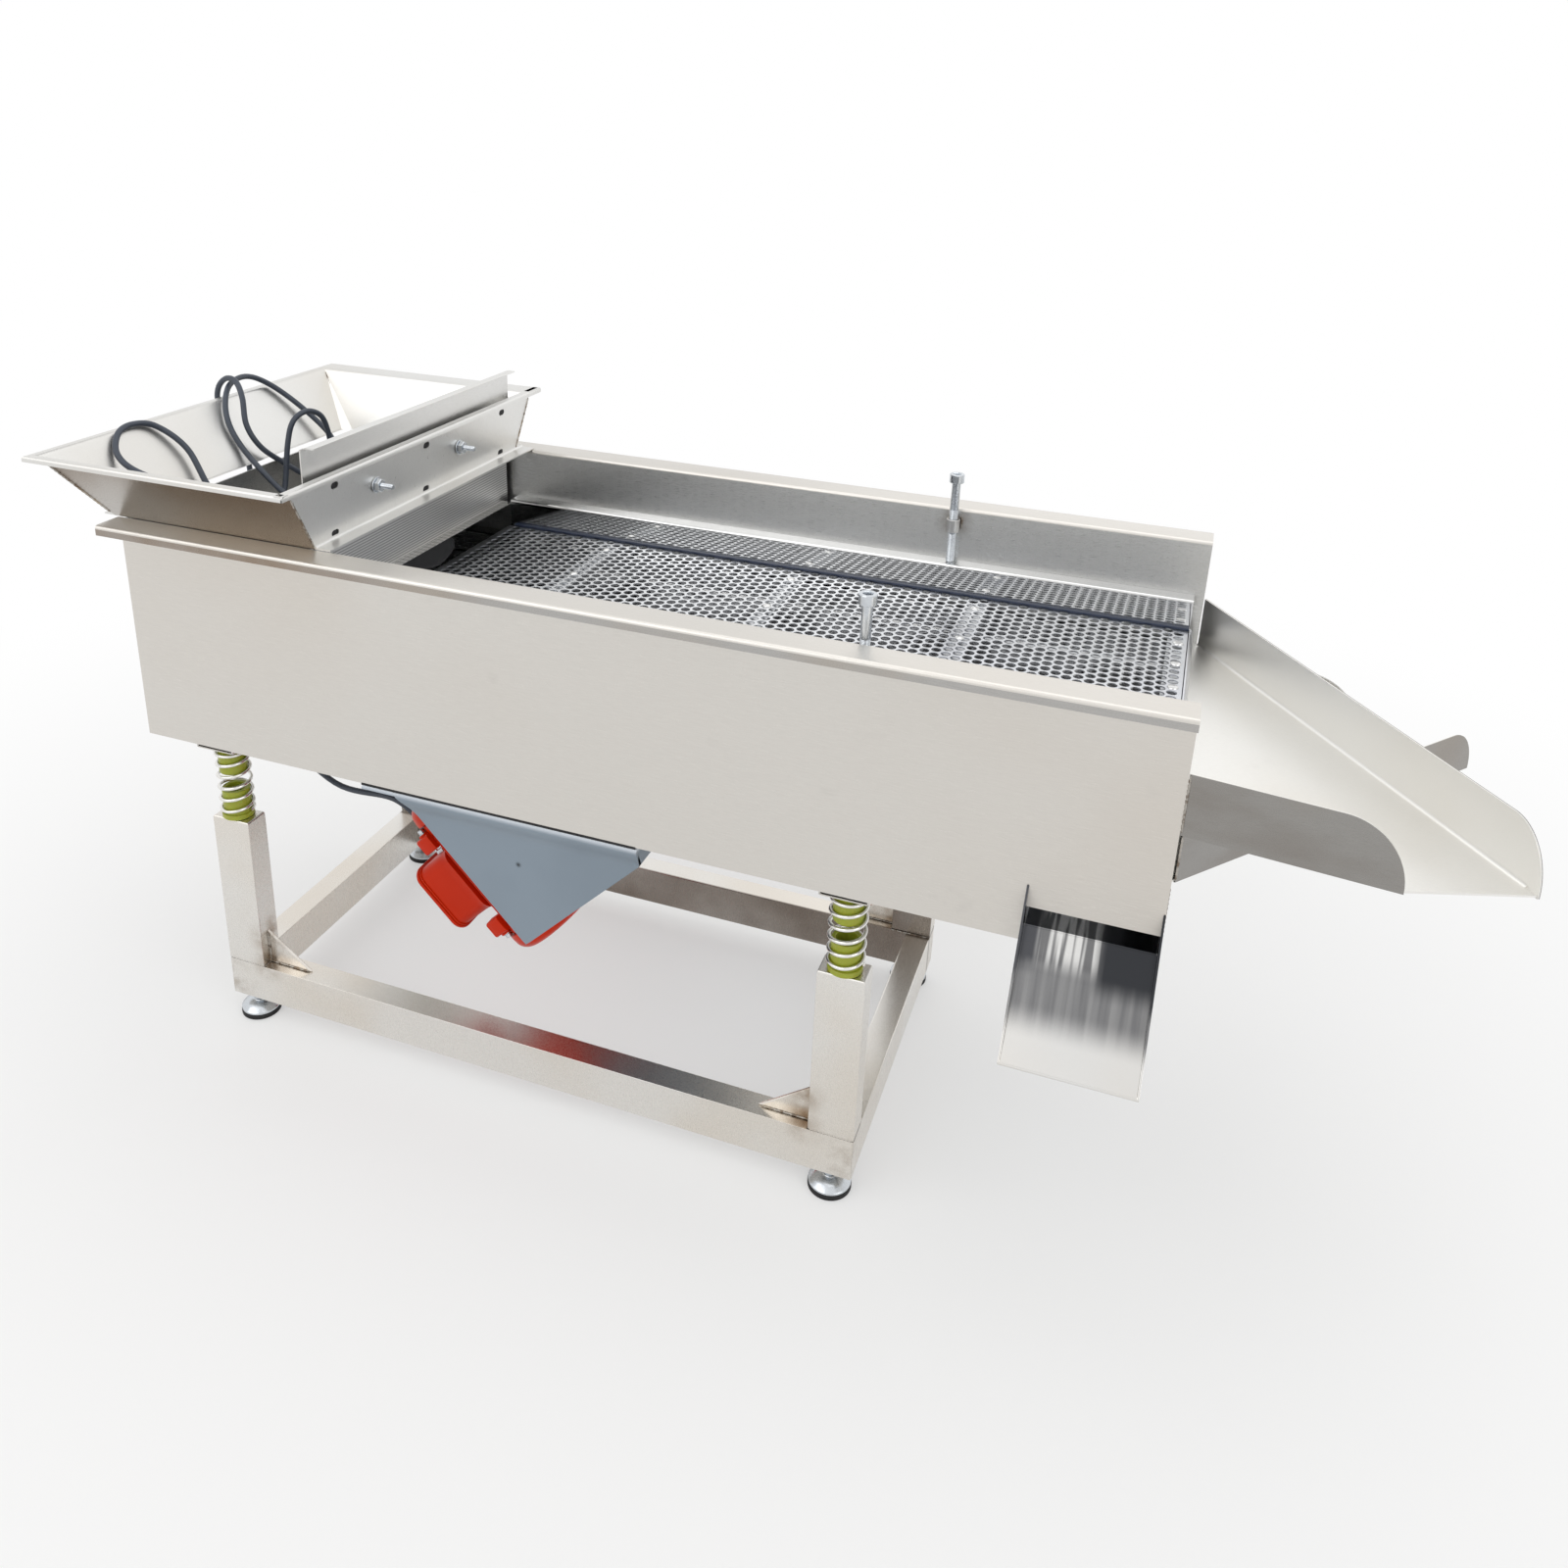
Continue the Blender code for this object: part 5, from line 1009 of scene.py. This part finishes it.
welds = Shape()
for near in ("right", "left"):
    for far, sign in SIDES:
        for inset, low, high, radius in ((0, HOPPER_LOW + 0.004, LIP_END - 0.001, 0.0013),
                                         (0.0019, HOPPER_LOW + 0.002, RIM - 0.005, 0.0008)):
            welds.bead([(wall(near, z, inset), sign * wall(far, z, inset), z) for z in (low, 0.68, high)], radius)
welds.bead([(0.32, -0.256, RIM - 0.0002), (0.3276, -0.2616, RIM - 0.0002)], 0.0008)
welds.make("welds_hopper", "hopper_steel", ["weld_bead"], smooth=60)


# Feed gate, its studs and nuts

GATE_BACK, GATE_FACE, GATE_TOP = 0.3105, 0.312, 0.744
plate = Shape()
half = [(0.1975, 0.5725), (0.1975, 0.6698), (0.207, 0.6698), (0.207, GATE_TOP)]
plate.prism([(-0.1975, 0.5725)] + half + [(-y, z) for y, z in half[:0:-1]], "X", GATE_BACK, GATE_FACE)
slots = [Shape().prism(rounded(0.0034, 0.0184, 0.00339, 6, (y, 0.669)), "X", 0.306, 0.316) for y, z in STUDS.values()]
plate.make("gate_plate", "hopper_steel", ["gate_steel"], smooth=28, cuts=slots, node="gate", body="gate")
bend = GATE_BACK + 0.003
outline = [(GATE_BACK, 0.7439)] + arc(bend, GATE_TOP, 0.003, 180, 90)
outline += [(0.3226, 0.747), (0.323, 0.7466), (0.323, 0.7458), (0.3226, 0.7455)]
outline += arc(bend, GATE_TOP, 0.0015, 90, 180)[:-1] + [(GATE_FACE, 0.7439)]
fold = Shape().prism(outline, "Y", -0.201, 0.207)
fold.box((GATE_BACK, -0.207, 0.7439), (GATE_FACE, -0.201, 0.7465))
fold.make("gate_fold", "hopper_steel", smooth=28, node="gate", body="gate")

SEAT = 328.43
for name, (y, z) in STUDS.items():
    stud = Shape()
    profile = [(5.2, 307.2), (6, 307.8), (6, 310.2), (3, 310.2), (3, SEAT - 0.4)]
    profile += thread(3, SEAT, 348.5, 1, 0.45) + [(2.4, 349.3)]
    washer = [(8.4, SEAT - 0.3), (8.8, SEAT), (8.8, SEAT + 0.6), (8.4, SEAT + 0.9)]
    nut = [(12, SEAT + 1.1, 1), (13, SEAT + 1.6, 1), (13, SEAT + 6, 1), (12, SEAT + 6.6, 1)]
    for item, sides in ((profile, 24), (washer, 32), (nut, 36)):
        stud.turned(item, sides, (0, y, z), "X")
    stud.make("stud_threaded_" + name, "zinc", smooth=28, node="gate_stud_" + name)


# Rubber flap under the feed pan's edge, and the screws of the deck's cross bars

edge = [(-0.1, 0.5742), (-0.06, 0.57), (-0.048, 0.564), (-0.02, 0.556), (0.0025, 0.551), (0.022, 0.5508),
        (0.036, 0.5545), (0.046, 0.56), (0.047, 0.568), (0.042, 0.574)]
curve = smooth_path([(0.321, y, z) for y, z in edge], 4)
flap = Shape().prism([(p.y, p.z) for p in curve] + [(0.04, 0.5748), (-0.098, 0.5748)], "X", 0.3195, 0.3225)
flap.rings(sweep(curve, [0.0021] * len(curve), 10)).make("feed_flap", "rubber", smooth=40)

screws = Shape()
for x in DECK_BARS:
    for y in (-0.0605, 0.0605, -0.15, 0.15):
        screws.turned([(4.8, -0.2), (5, 0.3), (4.6, 1), (3, 1.8), (1.2, 2.1)], 24, (x, y, DECK_TOP))
for y in (-0.143, -0.086, -0.026, 0.026, 0.086, 0.143):
    screws.turned([(5.4, -0.2), (5.6, 0.3), (5.2, 1.1), (3, 1.8), (1.2, 2)], 24, (1.164, y, DECK_TOP))
screws.make("deck_screws", "deck_steel", ["polished_steel"])


# Sheet that lines the fines slot and its chute

# Its colour, fines_steel, carries the painted reflections and shade of the chute floor.
liner = Shape().prism([(-0.15, 0.3976), (-0.2113, 0.3976), (-0.2994, 0.3141), (-0.2994, 0.3136), (-0.2111, 0.397),
                       (-0.15, 0.397)], "X", 1.0677, 1.1823)
liner.make("fines_liner", "chute_steel", ["fines_steel"], smooth=20)


# Large chutes

CHUTE_START, CHUTE_REACH, CHUTE_DROP, CHUTE_SHEET = 1.1848, 0.2805, 0.02, 0.002
SHORT_WALL_END = CHUTE_START + 0.1735


def make_large_chute(label, side, drop, wall_height):
    t, start = CHUTE_SHEET, CHUTE_START
    near, tuck, top = side * 0.2118, side * 0.2095, PANEL_TOP - drop
    tip = Vector((start + CHUTE_REACH - 0.0003, side * (0.2118 - 0.0498), 0))
    corner = Vector((start, -near, 0))
    run = tip - corner
    length = run.length
    run.normalize()
    inward = Vector((-run.y, run.x, 0)) * side

    def floor_z(x):
        return top - CHUTE_DROP / CHUTE_REACH * (x - start)

    chute = Shape()
    seam = inward * t / 2
    floor_corner = corner + seam - run * (seam.x / run.x)
    floor_tip = tip + seam - run * t / 2
    middle = near - side * t / 2
    outline = [(start - 0.008, tuck), (start, tuck), (start, middle), (SHORT_WALL_END, middle), floor_tip.xy[:],
               floor_corner.xy[:], (start, -tuck), (start - 0.008, -tuck)]
    chute.rings([[(x, y, floor_z(x) - depth) for x, y in outline] for depth in (t, 0)])
    straight = start + 0.12
    outline = [(start, floor_z(start) - t - 0.001), (start, floor_z(start) + wall_height)]
    for i in range(25):
        angle = QUARTER * i / 24
        x = straight + (SHORT_WALL_END - straight) * math.sin(angle)
        outline.append((x, floor_z(x) - t - 0.001 + (wall_height + t + 0.001) * math.cos(angle)))
    # The outer part of the short wall's thickness takes chute_side_steel, darker than the chute steel: painted shade on
    # its outer face.
    for depth, thick, kind in ((0, t * 0.45, 1), (t * 0.45, t * 0.55, 0)):
        chute.kind = kind
        low, high = sorted((near - side * depth, near - side * (depth + thick)))
        chute.prism(outline, "Y", low, high)
    outline = [(2 * t, floor_z(start) - t - 0.001), (2 * t, floor_z(start) + wall_height)]
    for i in range(25):
        angle = QUARTER * i / 24
        along = length - 0.04 + 0.04 * math.sin(angle)
        x = start + (tip.x - start) * along / length
        outline.append((along, floor_z(x) - t - 0.001 + (wall_height + t + 0.001) * math.cos(angle)))
    # The same painted shade on the long wall's outer face.
    for depth, thick, kind in ((0, t * 0.45, 1), (t * 0.45, t * 0.55, 0)):
        chute.kind = kind
        chute.rings([[tuple(corner + run * along + inward * d + Vector((0, 0, z))) for along, z in outline]
                     for d in (depth, depth + thick)])
    chute.kind = 0
    # Concave folds between the floor and its walls
    fold = [(-0.0006, -0.0006), (0.0032, -0.0006)] + arc(0.0032, 0.0032, 0.0032, -90, -180, 6) + [(-0.0006, 0.0032)]
    for origin, way, across, reach in (
            (corner + inward * t, run, inward, length - 0.012),
            (Vector((start, near - side * t, 0)), Vector((1, 0, 0)), Vector((0, -side, 0)), 0.1735)):
        rings = []
        for far in (2 * t, reach):
            spots = [(origin + way * far + across * a, b) for a, b in fold]
            rings.append([(spot.x, spot.y, floor_z(spot.x) + b) for spot, b in spots])
        chute.rings(rings)
    chute.make(f"chute_{label}_sheet", "chute_steel", ["chute_steel", "chute_side_steel"], smooth=28,
               node=label + "_chute")
    welds = Shape()
    welds.bead([(start + 0.0008, near + side * 0.0002, floor_z(start) + z) for z in (0, wall_height - 0.001)], 0.0013)
    welds.bead([(start + 0.0012, side * y, floor_z(start) - 0.0024) for y in (0.206, -0.202)], 0.0013)
    spot = corner + run * 2 * t
    welds.bead([(spot.x, spot.y, floor_z(spot.x) + z) for z in (0, wall_height - 0.001)], 0.0014)
    welds.make(f"welds_{label}_chute", "chute_steel", ["weld_bead"], smooth=60)


make_large_chute("top", -1, 0.1218, 0.0555)
make_large_chute("middle", 1, 0.1698, 0.0435)


# Motor bracket: top plate folded down into two side plates

BRACKET_END, CUT_HEIGHT = 0.683, 0.2236
fold = arc(0.204, 0.3722, 0.0075, 6, 90, 7)
bracket = Shape().prism([(-0.2115, 0.3727), (0.2115, 0.3727)] + fold + [(-y, z) for y, z in fold[::-1]], "X", 0.357,
                        BRACKET_END)
levels = [(0.3735, 0.2115), (0.3712, 0.2114), (0.3685, 0.2107), (0.365, 0.2092), (0.361, 0.207), (0.357, 0.205),
          (0.353, 0.2037)] + [(z, 0.203) for z in (0.349, 0.315, 0.265, 0.2235, 0.2208, 0.2196)]
for side in ENDS:
    rings = []
    for z, y in levels:
        ease = 0.0008 * max(0, CUT_HEIGHT - z) / 0.004
        low = 0.399 + max(0, 0.3717 - z) * 0.15 / 0.1527 + ease
        high = (BRACKET_END if z > 0.3527 else 0.549 + (z - 0.219) * 0.134 / 0.1337) - ease
        rings.append([(x, side * (y - depth), z) for x, depth in ((low, 0), (high, 0), (high, 0.005), (low, 0.005))])
    bracket.rings(rings)
bracket.box((0.678, -0.206, 0.353), (BRACKET_END, 0.206, 0.373))
bracket.make("bracket_folded", "bracket_paint", smooth=40, bevel=0.0007, segments=2, node="motor_bracket")
# A dark rubber strip along the panel's bottom edge, over the bracket's fold: painted shadow of the gap there.
shadow_strip, welds = Shape(), Shape()
for side in ENDS:
    shadow_strip.rings([[(x, side * y, z) for y, z in ((0.2098, 0.3776), (0.2118, 0.3777), (0.2123, 0.3788), (0.2123, 0.3801),
                                                 (0.2119, 0.3807), (0.2098, 0.3806))] for x in (0.358, 0.682)])
    welds.bead([(x, side * y, z) for x, y, z in ((0.6822, 0.2114, 0.3725), (0.6822, 0.2085, 0.364),
                                                 (0.682, 0.2045, 0.356), (0.6815, 0.2032, 0.3532))], 0.0016)
shadow_strip.make("bracket_gasket", "rubber", smooth=50)
welds.make("welds_bracket", "bracket_paint", smooth=60)


# Vibration motors, each in its own axes: X along the shaft, Z towards the mounting plate

FEET_Y, FEET_Z, BOLTS = 42.5, -0.035, (0.05, 0.052)
CASING = [(48, 80), (50, 79.5), (51, 78), (51, 67), (50.3, 65.5), (48.7, 63), (48.2, 60)]
SLABS = (
    (68, 62.5, 12, [(1.5, 48), (0.4, 48.5), (0, 49.6), (0, 60.8), (0.6, 61.8), (1.2, 62)]),
    (66, 38, 5, [(2.2, 42.5), (1.2, 44.5), (0.4, 47), (-1.2, 50)]),
    (41.5, 32, 13, [(-2.6, -42.5), (-1.8, -44), (-0.4, -50), (0, -56), (0, -94.7)]),
    (42.8, 33.3, 14, [(0, -93), (0, -95.2)]),
    (44.5, 35, 16, [(1.2, -95.6), (0.2, -96), (0, -96.9), (0.1, -98.7), (0.8, -100.1), (2, -101), (4, -101.5)]),
)
FOOT_BOLT = [(4.4, 73.4), (4.8, 73.8), (4.8, 74.5), (3.6, 74.7), (4, 75), (4, 78.6), (3.4, 79.2)]
NUTS = ([(13, 41.8, 1), (13.8, 42.4, 1), (13.8, 47.8, 1), (13, 48.2, 1)],
        [(13, 70.4, 1), (13.8, 70.9, 1), (13.8, 77, 1), (13, 77.6, 1), (3.6, 77.7), (4, 78.1), (4, 82), (3.4, 82.6)])
GLAND = [(16, -41.5, 1), (16.8, -42, 1), (16.8, -45.2, 1), (16, -45.7, 1), (8, -45.9), (8.4, -46.8), (8.4, -53),
         (8, -54.8), (7.2, -56.4), (6.2, -57.6), (5, -58.2)]
DOME = [(43, 80.3), (54, 80.3), (54.5, 80.8), (54.5, 86), (54.1, 89)]
DOME += [(37.7 + 16.4 * math.cos(QUARTER * k / 9), 89.3 + 16 * math.sin(QUARTER * k / 9)) for k in range(1, 10)]
DOME.append((12, 105.3))

for label, side in SIDES:
    turn = Matrix.Translation(MOTOR + Vector((0, side * MOTOR_SPREAD, 0))) @ Matrix.Rotation(TILT, 4, "Y")
    motor, metal = Shape(turn), Shape(turn)
    motor.turned([(r, -x) for r, x in CASING] + CASING[::-1] + [(40, 80), (40, -80)], 56, axis="X", closed=True)
    for angle in (-30, 0, 30):
        for flip in ENDS:
            out = Vector((0, flip * math.cos(math.radians(angle)), math.sin(math.radians(angle))))
            across = Vector((0, -out.z * flip, abs(out.y))) * 0.0017
            foot, peak = out * 0.0465, out * 0.0506
            rib = [foot - across * 1.5, foot + across * 1.5, peak + across * 0.6, peak - across * 0.6]
            motor.rings([[Vector((x, 0, 0)) + spot for spot in rib] for x in (-0.064, 0.064)])
    for slab in SLABS:
        motor.slab(*slab)
    for end in ENDS:
        for edge in ENDS:
            foot = (0, edge * FEET_Y * MM, FEET_Z)
            bolt = (end * BOLTS[0], edge * BOLTS[1], 0)
            motor.slab(10, 8.5, 3, [(1.8, -45.5), (0.6, -45), (0, -43.8), (0, -25)], (end * 61, edge * FEET_Y))
            motor.turned([(6.2, end * 70), (6.2, end * 73.5)], 24, foot, "X")
            metal.turned([(r, end * x) for r, x in FOOT_BOLT], 24, foot, "X")
            for nut in NUTS:
                metal.turned(nut, 36, bolt)
            metal.turned([(3, -101.6), (3.4, -101.1), (3.4, -99)], 20, (end * 0.0335, edge * 0.024, 0))
    metal.turned(GLAND, 36, (0, 0, -0.068), "X")
    motor.make("motor_casting_" + label, "motor_paint", bevel=0.0005, segments=2, node="motor_" + label)
    metal.make("motor_fasteners_" + label, "zinc", smooth=28, node="motor_" + label)
    for end, name in ((-1, "_top_"), (1, "_low_")):
        cover = Shape(turn).turned([(r, end * x) for r, x in DOME], 56, axis="X")
        cover.make("cover_dome" + name + label, "motor_paint", smooth=40, node="motor_cover" + name + label)


# Weld beads of the base frame

welds = Shape()
lines = []
for px, py in POSTS.values():
    inward = 1 if px < 0.5 else -1
    side = 1 if py < 0 else -1
    x, y, foot = px + inward * 0.0254, py + side * 0.0154, px + inward * 0.0262
    lines += [((x, py - 0.015, 0.079), (x, py + 0.015, 0.079), 0.0012),
              ((px - 0.025, y, 0.079), (px + 0.025, y, 0.079), 0.0012)]
    for y in (py - 0.0023, py + 0.0023):
        lines += [((foot, y, 0.0815), (foot, y, 0.1215), 0.0013),
                  ((foot, y, 0.0796), (foot + inward * 0.054, y, 0.0796), 0.0013)]
for x, way in zip(FRAME_ENDS, (1, -1)):
    for side in ENDS:
        lines.append([(x + way * far, side * (0.1982 - far), 0.0778) for far in (0.0035, 0.0265)] + [0.0007])
for start, end, radius in lines:
    welds.bead([start, end], radius, 0.002, 6)
welds.make("welds_frame", "frame_steel", ["weld_bead"], smooth=60, body="base_frame")
